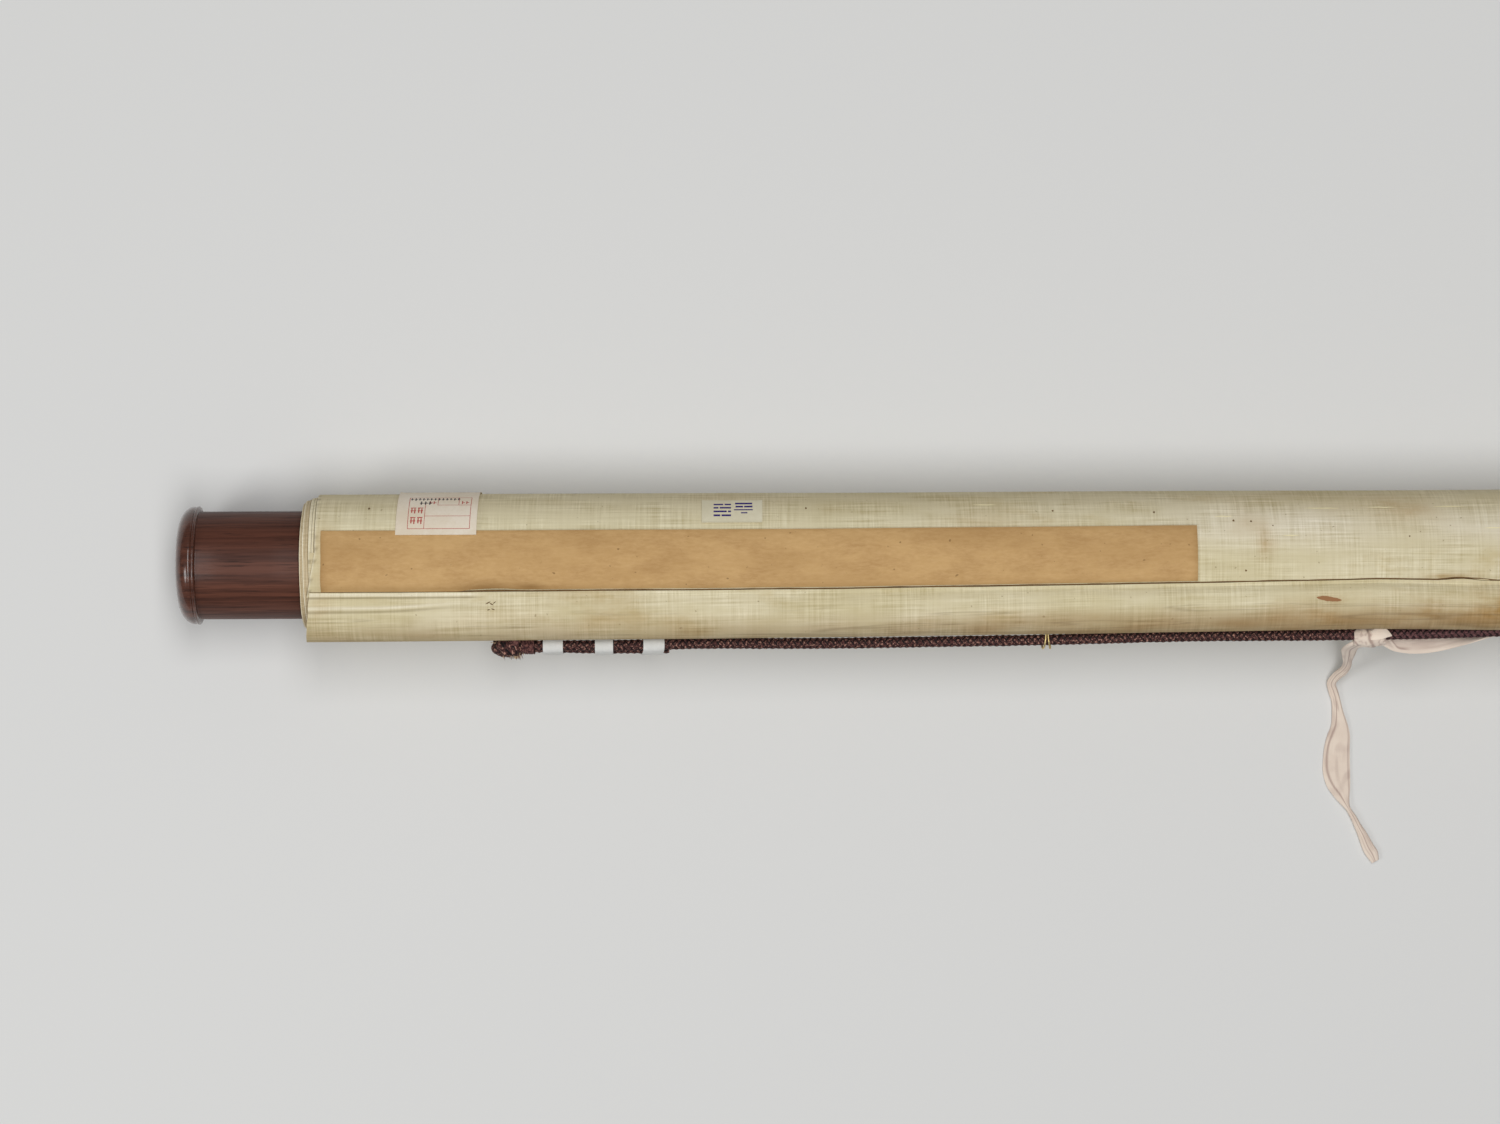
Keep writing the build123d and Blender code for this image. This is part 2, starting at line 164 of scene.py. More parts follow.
class Builder:
    """Collects vertices, each as (point, UV) or (point, UV, paint) in millimetres, and faces between them."""

    def __init__(self):
        self.vertices = []
        self.uvs = []
        self.paint = []
        self.faces = []
        self.indices = []

    def add(self, vertices):
        start = len(self.vertices)
        for point, uv, *paint in vertices:
            self.vertices.append(point)
            self.uvs.append(uv)
            self.paint.append(paint[0] if paint else (0, 0, 0))
        return start

    def face(self, corners, material, flip):
        self.faces.append(corners[::-1] if flip else corners)
        self.indices.append(material)

    def grid(self, rows, material=0, flip=False, closed=False, capped=False):
        """Quads between rows; closed joins each row's ends, and capped fills the first and last row."""
        width = len(rows[0])
        start = self.add(vertex for row in rows for vertex in row)
        for i in range(len(rows) - 1):
            for j in range(width if closed else width - 1):
                a = start + i * width + j
                b = start + i * width + (j + 1) % width
                index = material(i, j) if callable(material) else material
                self.face([a, b, b + width, a + width], index, flip)
        if capped:
            last = start + (len(rows) - 1) * width
            self.face(list(range(start, start + width)), material, flip)
            self.face(list(range(last, last + width)), material, not flip)

    def piece(self, name, slot, materials, sharp=None, paint=None, node=None):
        """The mesh object of it all, riding on the one body in place of a CAD node."""
        piece = mesh_object(name, self.vertices, self.faces, materials)
        mesh = piece.data
        mesh.polygons.foreach_set("material_index", self.indices)
        layer = mesh.uv_layers.new(name="UVMap")
        loops = np.empty(len(mesh.loops), int)
        mesh.loops.foreach_get("vertex_index", loops)
        layer.data.foreach_set("uv", (np.array(self.uvs, float)[loops] * MM).ravel())
        mesh.shade_smooth()
        if sharp:
            mesh.set_sharp_from_angle(angle=radians(sharp))
        mesh.update()
        if paint:
            set_attribute(piece, paint, self.paint)
        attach(piece, "root")
        if node:
            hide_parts(node)
        return piece


# Node materials, with colours as 0-255 display values

def linear(colour):
    """Linear colour from display values; another node's output stays as it is."""
    if isinstance(colour, bpy.types.NodeSocket):
        return colour
    shares = [value / 255 for value in colour]
    return (*[v / 12.92 if v <= 0.04045 else ((v + 0.055) / 1.055) ** 2.4 for v in shares], 1.0)


class Nodes:
    """Short names for the nodes that the materials are made of."""

    def __init__(self, name, roughness, specular):
        self.material = bpy.data.materials.new(name)
        self.material.use_nodes = True
        self.tree = self.material.node_tree
        self.shader = self.tree.nodes["Principled BSDF"]
        self.put("Roughness", roughness)
        self.put("Specular IOR Level", specular)

    def put(self, socket, value, node=None):
        """Set a socket of the shader, or of a node, to a value or to another node's output."""
        target = (node or self.shader).inputs[socket]
        if isinstance(value, bpy.types.NodeSocket):
            self.tree.links.new(value, target)
        else:
            target.default_value = value

    def node(self, kind, inputs, **settings):
        node = self.tree.nodes.new("ShaderNode" + kind)
        for key, value in settings.items():
            setattr(node, key, value)
        for socket, value in inputs.items():
            self.put(socket, value, node)
        return node

    def noise(self, scale, detail=2.0, roughness=0.5, solid=False):
        """Noise over the UV map, in metres, or solid in the object's own space."""
        if solid:
            vector = self.node("TexCoord", {}).outputs["Object"]
        else:
            vector = self.node("UVMap", {}, uv_map="UVMap").outputs["UV"]
        vector = self.node("Mapping", {"Vector": vector, "Scale": scale}).outputs["Vector"]
        inputs = {"Vector": vector, "Scale": 1.0, "Detail": detail, "Roughness": roughness}
        return self.node("TexNoise", inputs).outputs["Fac"]

    def times(self, a, b):
        return self.node("Math", {0: a, 1: b}, operation="MULTIPLY").outputs[0]

    def plus(self, a, b):
        return self.node("Math", {0: a, 1: b}, operation="ADD").outputs[0]

    def span(self, value, low, high, to_low=0.0, to_high=1.0):
        inputs = {"Value": value, "From Min": low, "From Max": high, "To Min": to_low, "To Max": to_high}
        return self.node("MapRange", inputs, interpolation_type="SMOOTHSTEP").outputs["Result"]

    def mix(self, share, a, b, blend="MIX"):
        inputs = {0: share, 6: linear(a), 7: linear(b)}
        return self.node("Mix", inputs, data_type="RGBA", blend_type=blend).outputs[2]

    def over(self, base, value, low, high, colour, most=1.0):
        """The base colour, and more of the other colour as the value goes from low to high."""
        return self.mix(self.span(value, low, high, 0.0, most), base, colour)

    def attribute(self, name):
        node = self.node("Attribute", {}, attribute_name=name)
        return self.node("SeparateColor", {"Color": node.outputs["Color"]}).outputs

    def finish(self, colour, height, distance, strength):
        """Put the colour and a bump on the shader."""
        self.put("Base Color", colour)
        inputs = {"Height": height, "Distance": distance, "Strength": strength}
        self.put("Normal", self.node("Bump", inputs).outputs["Normal"])
        return self.material


def silk_material():
    """Plain weave with slubs both ways, greyer to the left and yellower to the right, with stains, darker
    worn patches, and painted shade, shadow lines and highlights.
    """
    n = Nodes("silk", 0.85, 0.2)
    weft = n.noise((40, 1500, 1), 3, 0.6)
    warp = n.noise((1500, 40, 1), 3, 0.6)
    coarse_weft = n.noise((22, 620, 3), 1, 0.4)
    coarse_warp = n.noise((620, 30, 3), 1, 0.4)
    open_weave = n.span(n.noise((55, 90, 8), 3), 0.36, 0.62, 0.25, 1.25)
    cloud = n.noise((14, 34, 1), 5, 0.6)
    patch = n.noise((34, 70, 7), 5, 0.65)
    fleck = n.noise((520, 520, 2), 1)
    tone = n.attribute("tone")
    wear_and_painted_light = n.attribute("wear_and_painted_light")
    base = n.over((206, 194, 156), cloud, 0.36, 0.64, (219, 209, 178))
    base = n.over(base, patch, 0.52, 0.72, (195, 177, 132), 0.55)
    base = n.mix(tone["Green"], base, (220, 210, 176))
    base = n.mix(tone["Blue"], base, (229, 220, 198))
    base = n.mix(n.times(tone["Red"], n.span(patch, 0.35, 0.62, 0.25, 1.0)), base, (172, 136, 78))
    base = n.over(base, fleck, 0.74, 0.80, (120, 96, 58), 0.5)
    # Painted shade towards the roll's limbs and on the deeper turns, painted highlights on cut edges and
    # ridges, and painted shadow lines beside the turns' edges, under the ridges and in creases, together with
    # darker worn patches near the sheet's cut edges
    base = n.mix(wear_and_painted_light["Blue"], base, (162, 130, 86))
    base = n.mix(wear_and_painted_light["Green"], base, (234, 225, 200))
    base = n.mix(n.times(wear_and_painted_light["Red"], 0.9), base, (92, 72, 44))
    fine = n.plus(n.span(weft, 0.28, 0.72, -0.11, 0.09), n.span(warp, 0.28, 0.72, -0.10, 0.07))
    wide = n.plus(n.span(coarse_weft, 0.3, 0.75, -0.05, 0.07), n.span(coarse_warp, 0.3, 0.7, -0.035, 0.03))
    threads = n.times(n.plus(fine, wide), open_weave)
    strengths = (("Red", 0.88), ("Green", 1.0), ("Blue", 1.35))
    shade = {channel: n.plus(1.0, n.times(threads, strength)) for channel, strength in strengths}
    shade = n.node("CombineColor", shade).outputs["Color"]
    height = n.plus(weft, n.times(warp, 0.8))
    return n.finish(n.mix(1.0, base, shade, "MULTIPLY"), height, 0.00018, 0.8)


def slip_material():
    """Ochre paper, faintly stained, darker towards its edges."""
    n = Nodes("slip_paper", 0.88, 0.2)
    fibre = n.noise((300, 900, 1), 4, 0.7)
    base = n.over((197, 160, 108), n.noise((55, 110, 3), 6, 0.7), 0.35, 0.68, (180, 142, 93))
    base = n.over(base, fibre, 0.3, 0.75, (210, 174, 124), 0.5)
    base = n.over(base, n.noise((16, 60, 5), 3), 0.45, 0.7, (168, 130, 82), 0.4)
    base = n.over(base, n.noise((420, 420, 6), 1), 0.73, 0.79, (112, 84, 50), 0.6)
    return n.finish(n.mix(n.attribute("tone")["Red"], base, (140, 106, 62)), fibre, 0.00008, 0.5)


def paper_material(name, main, worn):
    n = Nodes(name, 0.85, 0.2)
    fibre = n.noise((700, 700, 1), 4, 0.7)
    wear = n.times(n.noise((60, 60, 3), 4, 0.6), n.plus(fibre, 0.5))
    return n.finish(n.over(main, wear, 0.3, 0.75, worn), fibre, 0.00006, 0.4)


def mottled_material(name, surface, noise, span, colours):
    """Two colours mixed by a noise; the surface is its roughness and specular."""
    n = Nodes(name, *surface)
    n.put("Base Color", n.over(colours[0], n.noise(*noise), *span, colours[1]))
    return n.material


def ink_material(name, ink, paper):
    return mottled_material(name, (0.8, 0.2), ((2200, 2200, 1), 2), (0.5, 0.7), (ink, paper))


def knob_material():
    """Dark hardwood with its grain along the roller, waxed, and polished where the paint says so."""
    n = Nodes("knob_wood", 0.5, 0.18)
    pores = n.noise((60, 1500, 1500), 3, 0.6, solid=True)
    base = n.over((55, 31, 24), n.noise((14, 420, 420), 5, 0.65, solid=True), 0.3, 0.7, (103, 63, 49))
    base = n.over(base, n.noise((9, 60, 60), 3, solid=True), 0.35, 0.7, (80, 46, 35), 0.45)
    base = n.over(base, pores, 0.56, 0.72, (32, 18, 14), 0.7)
    polish = n.attribute("polish")["Red"]
    n.put("Roughness", n.plus(n.span(pores, 0.3, 0.7, 0.42, 0.54), n.times(polish, -0.2)))
    n.put("Coat Weight", n.times(polish, 0.8))
    n.put("Coat Roughness", 0.14)
    return n.finish(base, pores, 0.00012, 0.35)


def braid_material():
    """Braided yarn of dark maroon threads with pinkish tan ones among them, and painted shade in the gaps
    between the strands.
    """
    n = Nodes("braid", 0.75, 0.3)
    relief = n.attribute("relief")
    yarn = n.noise((1500, 1900, 1), 3, 0.7)
    speckle = n.noise((1300, 1100, 9), 3, 0.75)
    strand = n.over((62, 32, 37), yarn, 0.40, 0.62, (126, 86, 86))
    strand = n.over(strand, speckle, 0.58, 0.68, (176, 136, 126), 0.5)
    mottled = n.over((44, 20, 22), yarn, 0.42, 0.62, (96, 56, 52))
    mottled = n.over(mottled, speckle, 0.53, 0.62, (196, 148, 130), 0.85)
    thread = n.mix(relief["Green"], strand, mottled)
    # Painted shade in the gaps between the strands, where the braid's height in relief Red is low
    return n.finish(n.over((18, 8, 11), relief["Red"], 0.25, 0.85, thread), yarn, 0.0002, 0.6)


def fibrous_material(name, surface, noise, span, colours, bump):
    """Two colours mixed by a solid noise, which also gives the relief."""
    n = Nodes(name, *surface)
    fibres = n.noise(*noise, solid=True)
    return n.finish(n.over(colours[0], fibres, *span, colours[1]), fibres, 0.0002, bump)


def thread_material(name, dark, light):
    return fibrous_material(name, (0.8, 0.25), ((1200, 1200, 1200), 3, 0.7), (0.38, 0.62), (dark, light), 0.6)


def tape_material():
    """Soft woven tape, pinkish cream, with painted shade in its folds, creases, wrinkles and underside."""
    n = Nodes("tape_cloth", 0.88, 0.2)
    across = n.noise((2600, 120, 1), 3, 0.6)
    along = n.noise((120, 2600, 1), 3, 0.6)
    base = n.over((242, 228, 212), n.noise((70, 90, 4), 4), 0.3, 0.7, (232, 216, 200))
    base = n.over(base, across, 0.55, 0.8, (212, 192, 178), 0.3)
    n.put("Sheen Weight", 0.2)
    # tone Red is painted shade
    return n.finish(n.mix(n.attribute("tone")["Red"], base, (180, 158, 147)),
                    n.plus(across, along), 0.00018, 0.7)


def brass_material():
    n = Nodes("ring_brass", 0.4, 0.5)
    tarnish = n.noise((500, 500, 500), 3, solid=True)
    n.put("Metallic", 1.0)
    n.put("Base Color", n.over((232, 212, 154), tarnish, 0.35, 0.7, (186, 156, 96)))
    n.put("Roughness", n.span(tarnish, 0.3, 0.7, 0.35, 0.55))
    return n.material


def floor_material():
    n = Nodes("floor", 0.9, 0.1)
    n.put("Base Color", (0.70, 0.70, 0.69, 1))
    return n.material


SILK = silk_material()
EDGE = mottled_material("sheet_edge", (0.9, 0.15), ((20, 300, 1), 4, 0.7), (0.3, 0.7),
                        ((150, 132, 98), (205, 193, 163)))
# Painted shadow beside the seam; the same material colours the dark specks and cracks
SEAM = paper_material("seam_shadow_and_dark_marks", (100, 77, 48), (124, 97, 62))
SLUB = paper_material("slub_silk", (240, 230, 190), (226, 214, 172))
SMEAR = paper_material("smear_silk", (158, 110, 76), (148, 114, 76))
SLIP = slip_material()
LABEL = paper_material("label_paper", (224, 210, 188), (234, 223, 206))
STAMP = paper_material("stamp_paper", (212, 204, 176), (222, 215, 190))
RED_INK = ink_material("red_ink", (178, 66, 60), (200, 130, 120))
BLACK_INK = ink_material("black_ink", (44, 40, 44), (120, 112, 110))
VIOLET_INK = ink_material("violet_ink", (48, 31, 106), (86, 70, 136))
KNOB = knob_material()
WOOD = fibrous_material("plain_wood", (0.6, 0.3), ((12, 260, 260), 4, 0.6), (0.3, 0.7),
                        ((150, 112, 72), (190, 152, 106)), 0.3)
BRAID = braid_material()
WHIPPING = thread_material("whipping_thread", (48, 24, 28), (120, 80, 74))
TUFT = thread_material("tuft_thread", (176, 146, 112), (214, 190, 158))
BAND = paper_material("band_paper", (216, 216, 212), (232, 232, 230))
TAPE = tape_material()
BRASS = brass_material()


# Camera over the scroll, and the stage

def make_camera():
    camera = add_object("camera", bpy.data.cameras.new("camera"))
    camera.location = CAMERA_PLACE
    camera.rotation_euler = (0, 0, radians(CAMERA_ROLL))
    camera.data.sensor_width = SENSOR
    camera.data.lens = SENSOR * CAMERA_PLACE[2] / FLOOR_SEEN
    camera.data.clip_end = 50
    bpy.context.scene.camera = camera


def make_stage():
    reach = 4000
    corners = [(x, y, 0) for y in (-reach, reach) for x in (-reach, reach)]
    mesh_object("floor", corners, [(0, 1, 3, 2)], [floor_material()])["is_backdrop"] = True


def make_light(name, location, aim, size, energy):
    data = bpy.data.lights.new(name, "AREA")
    data.shape = "RECTANGLE"
    data.size, data.size_y = size
    data.energy = energy
    light = add_object(name, data)
    light.location = location
    light.rotation_euler = (Vector(aim) - Vector(location)).to_track_quat("-Z", "Y").to_euler()


def make_lights():
    """A faint even world, a large soft light from above and a weak one from the left front."""
    world = bpy.data.worlds.new("world")
    world.use_nodes = True
    background = world.node_tree.nodes["Background"].inputs
    background["Color"].default_value = (1, 1, 1, 1)
    background["Strength"].default_value = WORLD_LIGHT
    bpy.context.scene.world = world
    make_light("key", location=(-0.05, 0.0, 2.3), aim=(-0.1, 0, 0), size=(2.6, 0.8), energy=43)
    make_light("side", location=(-1.3, -0.4, 1.1), aim=(-0.35, 0, 0), size=(0.5, 0.5), energy=5)


# Where the stave and the seam lie along the roll

def bowed(x, end, quarter, middle):
    """Value through the ends, quarters and middle of the roll, halfway between straight and curved."""
    share = min(abs(x) / HALF_WIDTH, 1.0)
    if share < 0.5:
        straight = middle + (quarter - middle) * share / 0.5
    else:
        straight = quarter + (end - quarter) * (share - 0.5) / 0.5
    parabola = middle + (4 * quarter - end - 3 * middle) * share
    parabola += (2 * end + 2 * middle - 4 * quarter) * share**2
    return lerp(straight, parabola, 0.5)


def seam_angle(x):
    return bowed(x, 22.4, 20.9, 15.0)


def stave_angle(x):
    return bowed(x, 52.0, 47.5, 39.5)


def around(angle, radius):
    """(y, z) at an angle from straight up, positive towards the cord."""
    turn = radians(angle)
    return np.array((-radius * sin(turn), AXIS_HEIGHT + radius * cos(turn)))


def on_stave(angle, along, out):
    """(y, z) beside the stave's middle, out from the roller's axis."""
    turn = radians(angle)
    return np.array((-along * cos(turn) - out * sin(turn), AXIS_HEIGHT - along * sin(turn) + out * cos(turn)))


def drift_at(winding):
    """How far the sheet has drifted along the roll; a winding below 0 lies under the pocket."""
    if winding < 0:
        return lerp(OUTER_DRIFT, POCKET_DRIFT, min(-winding / BURIED, 1.0))
    return OUTER_DRIFT * max(1 - winding / DRIFTING_WINDING, 0.0)


def turn_radius(winding):
    """Radius of the sheet's outer face."""
    return ROLL_RADIUS - PITCH * max(winding, 0.0) / 360


def run(winding):
    """Length along the outermost turn."""
    return winding / 360 * 2 * pi * (ROLL_RADIUS - 0.45)


def ragged(winding, side):
    """How far the sheet's cut edge strays along the roll."""
    return 0.22 * wander(winding / 55, side * 3.3) + 0.10 * wander(winding / 9, side * 7.7)


def place_x(winding, share):
    """X on the sheet, the share running from -1 at its left edge to 1 at its right one."""
    low = -HALF_WIDTH + drift_at(winding) + ragged(winding, -1)
    high = HALF_WIDTH + drift_at(winding) + ragged(winding, 1)
    return lerp(low, high, (share + 1) / 2)


# The pocket: from the flap's cut edge over the stave to its far side and under it

POCKET_SAMPLES = 110
POCKET_WIDTH = 34.0


def pocket_profile(x):
    seam = seam_angle(x)
    centre = stave_angle(x)
    side = STAVE_SIDE
    flat = ROLL_RADIUS + 0.2
    shoulder = flat + 1.2
    crown = flat + 6.7
    flap = ROLL_RADIUS + 0.5
    near = on_stave(centre, -side, shoulder)
    arc_radius = (side**2 + (crown - shoulder) ** 2) / (2 * (crown - shoulder))
    arc_centre = crown - arc_radius
    half_angle = atan2(side, shoulder - arc_centre)
    second = around(seam + 2.5, flap)
    points = [around(seam, flap), second, lerp(second, near, 0.35), lerp(second, near, 0.7)]
    for step in range(11):
        angle = lerp(-half_angle, half_angle, (step + 0.3) / 10.6)
        points.append(on_stave(centre, arc_radius * sin(angle), arc_centre + arc_radius * cos(angle)))
    under = ROLL_RADIUS - SHEET
    for step, out in ((-0.02, shoulder - 0.35), (0.25, flat - 0.1), (1.6, under + 0.05), (4.5, under - 0.15)):
        points.append(on_stave(centre, side - step, out))
    return through(points, POCKET_SAMPLES)


def second_ridge(x):
    """How far from the seam the second ridge runs."""
    return lerp(7.1, 5.6, rise(-372, -334, x))


def pocket_relief(x, along):
    """Height of the ridges that run beside the seam at the left end, and soft waves elsewhere."""
    first = 0.30 * hill(along, 1.9, 1.3) * rise(-332, -338, x)
    second = 0.32 * hill(along, second_ridge(x), 0.75) * rise(-333, -366, x)
    waves = 0.10 * wander(x / 38, along / 9, 3.1) * rise(0, 6, along)
    creases = 0.05 * wander(x / 90, along / 1.6, 8.7) * rise(1, 4, along)
    return first + second + waves + creases


def pocket_paint(x, along):
    """Painted highlights on and painted shadow below the ridges beside the seam, painted shade in thin crease
    lines, and painted shade towards the pocket's far side.
    """
    first = rise(-331, -337, x)
    second = rise(-333, -362, x)
    line = second_ridge(x)
    # light is painted highlight on the ridges, dark is painted shadow below them and in the crease lines
    light = 0.85 * hill(along, 1.4, 1.5) * first + 0.8 * hill(along, line, 0.9) * second
    dark = 0.55 * hill(along, 3.0, 0.7) * first + 0.4 * hill(along, line + 1.3, 0.7) * second
    dark += 0.3 * hill(wander(x / 60, along / 1.7, 8.7), 0.28, 0.1) * rise(7, 12, along)
    # Painted shade towards the pocket's far side, on the lower side of the roll
    painted_limb_shade = rise(9.0, 18.0, along) * (0.7 + 0.3 * wander(x / 14, along / 5, 2.0))
    return min(dark, 1.0), min(light, 1.0), painted_limb_shade * lerp(0.55, 1.0, rise(-260, -60, x))


def seam_wander(x):
    """Sideways wander of the flap's cut edge, and the place where it has sprung up."""
    return 0.10 * wander(x / 24, 5.5) + 0.9 * hill(x, 31, 9)


def seam_lift(x):
    return 0.08 * wander(x / 17, 9.2) + 0.75 * hill(x, 31, 10)


def pocket_x(share):
    return lerp(-HALF_WIDTH, HALF_WIDTH, (share + 1) / 2) + POCKET_DRIFT


def pocket_section(share):
    """Vertices of the pocket's outer face and of its inner one in one cross-section."""
    x = pocket_x(share)
    profile = pocket_profile(x)
    outer, inner = [], []
    for k, place in enumerate(profile):
        along = POCKET_WIDTH * k / POCKET_SAMPLES
        ahead = profile[min(k + 1, POCKET_SAMPLES)] - profile[max(k - 1, 0)]
        ahead = ahead / np.linalg.norm(ahead)
        normal = np.array((-ahead[1], ahead[0]))
        if normal @ (place - np.array((0, AXIS_HEIGHT))) < 0 and along < 29.5:
            normal = -normal
        point = place + normal * (pocket_relief(x, along) + seam_lift(x) * hill(along, 0, 3.2))
        point = point + np.array((seam_wander(x) * max(1 - along / 2.8, 0), 0))
        edge = x + 0.25 * wander(along / 4, 4.4, share) * abs(share) ** 40
        edge += lerp(1.2, -1.2, min(along / 24, 1)) * rise(0.96, 1, abs(share))
        below = point - normal * (0.55 + (0.2 if k == 0 else 0))
        outer.append(((edge, *point), (edge, along - POCKET_WIDTH), pocket_paint(x, along)))
        inner.append(on_floor((edge, *below)))
    return outer, inner


def on_floor(point):
    """Vertex whose UV is its place on the floor."""
    return point, point[:2]


def make_pocket(builder, shares):
    outer, inner = (list(zip(*sections)) for sections in zip(*map(pocket_section, shares)))
    builder.grid(outer, flip=True)
    # A narrow strip of painted shadow lies on the turn beyond the flap's cut edge
    seam, near_foot, foot = [], [], []
    for share, (point, uv, _) in zip(shares, outer[0]):
        x = pocket_x(share)
        seam.append((point, uv))
        reach = 0.44 + 0.16 * wander(x / 6, 7.3) + 0.4 * hill(x, -327, 12) + 0.35 * hill(x, 39, 5)
        reach *= lerp(0.1, 1, rise(-344, -338, x))
        for row, out in ((near_foot, 0), (foot, reach)):
            angle = seam_angle(x) - (out + seam_wander(x)) / ARC
            row.append(((point[0], *around(angle, ROLL_RADIUS + 0.07)), uv))
    builder.grid([seam, near_foot, foot], material=2)
    for column in (0, -1):
        strip = [[(top[column][0], (0, k * 0.5)), (low[column][0], (0.6, k * 0.5))]
                 for k, (top, low) in enumerate(zip(outer, inner))]
        builder.grid(strip, material=1, flip=column == -1)
    builder.grid([row[::10] for row in inner[::4]])


# The turns of the sheet

def swell_at(x, winding):
    """Soft waves of the outermost turn."""
    s = run(winding)
    swell = 0.16 * wander(x / 60, s / 26, 1.3) + 0.05 * wander(x / 120, s / 3.2, 6.1)
    return swell * rise(-20, 0, winding) * rise(360, 320, winding)


def turn_point(x, winding, inset=0.0):
    """Point at a depth under the sheet's outer face, kept off the floor."""
    y, z = around(OUTER_START - winding, turn_radius(winding) - inset)
    return x, y, max(z, LOWEST)


def outer_vertex(winding, share):
    """Vertex of the outermost turn: darker worn patches and a painted highlight at the sheet's cut edges, and
    painted shade on the side away from the cord.
    """
    x = place_x(winding, share)
    from_end = (1 - abs(share)) * HALF_WIDTH
    # Red: darker worn patches; Green: painted highlight along the cut edge; Blue: painted shade on the side
    # away from the cord
    worn = rise(1.8, 0.6, from_end) * rise(-0.1, 0.5, wander(winding / 5, share * 9))
    painted_limb_shade = 0.12 * rise(-32, -62, OUTER_START - winding)
    paint = (0.5 * worn, 0.7 * rise(0.5, 0.1, from_end), painted_limb_shade)
    return turn_point(x, winding, -swell_at(x, winding)), (x, run(winding)), paint


# Bare edge of a turn inside the outermost one, as (share of its width, depth, painted shadow, painted
# highlight)
EDGE_LAYERS = [(0, 0.42, 0, 1), (0.10, 0.40, 0, 0.9), (0.13, 0.40, 0, 0.35), (0.38, 0.40, 0, 0.3),
               (0.42, 0.40, 0.8, 0), (0.49, 0.36, 0.8, 0), (0.52, 0.20, 0, 0.8), (0.60, 0.20, 0, 0.3),
               (0.80, 0, 0, 0.25), (0.84, 0, 0.9, 0), (1.3, 0, 1, 0)]


def bare_edge(winding):
    """Row of vertices: painted highlights at the turn's own cut edge and on its steps, painted shadow beside
    its steps and where the next turn out lies on it, and painted shade on the deeper turns.
    """
    own = place_x(winding, -1)
    width = max(place_x(winding - 360, -1) - own, 0.25)
    deep = rise(540, 600, winding)
    row = []
    for share, depth, dark, light in EDGE_LAYERS:
        wobble = 0.05 * wander(winding / 14, share * 7, 1.1) * sin(pi * min(share, 1))
        x = own + width * (share + wobble)
        # dark is painted shadow and light is painted highlight; shaded is painted shade on the turns deep in
        # the roll's end
        shaded = deep * (share > 0.1)
        dark *= (0.8 + 0.4 * wander(winding / 20, share * 3, 5.0)) * (1 - 0.5 * deep)
        row.append((turn_point(x, winding, depth), (x, winding * WINDING_UV),
                    (dark, light * (1 - 0.5 * shaded), 0.55 * shaded)))
    return row


def plain_turns(start, stop, inset):
    """Rows of vertices on a hidden face of the turns."""
    rows = []
    for winding in spread(start, stop, ceil((stop - start) / 6)):
        y, z = around(OUTER_START - winding, turn_radius(winding) - inset)
        z += 0.3 if z < 0.35 else 0
        places = [place_x(winding, share) for share in (-1, -0.99, -0.9, -0.4, 0.4, 0.9, 0.99, 1)]
        if inset == 0 and winding < 360 + DRIFTING_WINDING:
            places[0] = place_x(winding - 360, -1) + 0.3
        rows.append([((x, y, z), (x, winding * WINDING_UV)) for x in places])
    return rows


def cut_edge(side):
    """Rows of vertices on the sheet's cut edge at one end, a little rounded."""
    rows = []
    for winding in spread(-BURIED, LAST_WINDING, ceil((LAST_WINDING + BURIED) / 3)):
        x = place_x(winding, side)
        top = EDGE_LAYERS[0][1] if side < 0 and 360 <= winding <= 360 + DRIFTING_WINDING else 0
        row = []
        for share, bulge, u in ((0, 0, 0), (0.3, 0.10, 0.2), (0.7, 0.10, 0.4), (1, 0, 0.6)):
            point = turn_point(x + side * bulge, winding, lerp(top, SHEET, share))
            row.append((point, (u, winding * WINDING_UV)))
        rows.append(row)
    return rows


def on_outer_turn(x, y, out=MARK_HEIGHT):
    """Point on the outermost turn over a place of the floor."""
    winding = OUTER_START + degrees(asin(y / ROLL_RADIUS))
    return turn_point(x, winding, -swell_at(x, winding) - out)


def on_pocket(x, y):
    """Point on the outer face of the pocket over a place of the floor."""
    profile = pocket_profile(x)
    k = next(k for k in range(4, POCKET_SAMPLES) if profile[k + 1][0] < y)
    share = (y - profile[k][0]) / (profile[k + 1][0] - profile[k][0])
    height = pocket_relief(x, POCKET_WIDTH * (k + share) / POCKET_SAMPLES)
    return x, y, lerp(profile[k][1], profile[k + 1][1], share) + height * 1.1 + MARK_HEIGHT


# Thick light threads on the silk as (x, y, length), and dark specks as (x, y, size)
SLUBS = [(-26, 19.7, 13), (-3, 20.0, 11), (22, 20.2, 12), (-150, 21.4, 9), (-60, 16.8, 7), (40, 12.0, 8),
         (-35, 9.5, 6)]
SPECKS = [(-82.3, 18.4, 0.4), (-53.0, 15.2, 0.4), (-46.5, 14.9, 0.35), (-49.0, -3.5, 0.38),
          (-38.5, 13.2, 0.25), (-120, 19, 0.35), (12, 9, 0.3), (-342, 19.5, 0.35), (-375, 21, 0.4),
          (-212, 20.5, 0.35)]
# Marks on the pocket as (x, y, half length, half width, tilt, material): a red-brown smear, then cracks
POCKET_MARKS = [(-18.4, -14.1, 4.7, 0.85, -0.12, 4), (-330.2, -14.3, 0.9, 0.2, 0.5, 2),
                (-328.9, -14.8, 0.7, 0.2, -0.4, 2), (-327.8, -14.2, 0.5, 0.18, 0.9, 2),
                (-330.0, -16.9, 0.5, 0.16, 0.2, 2), (-328.3, -16.7, 0.6, 0.16, -0.4, 2)]


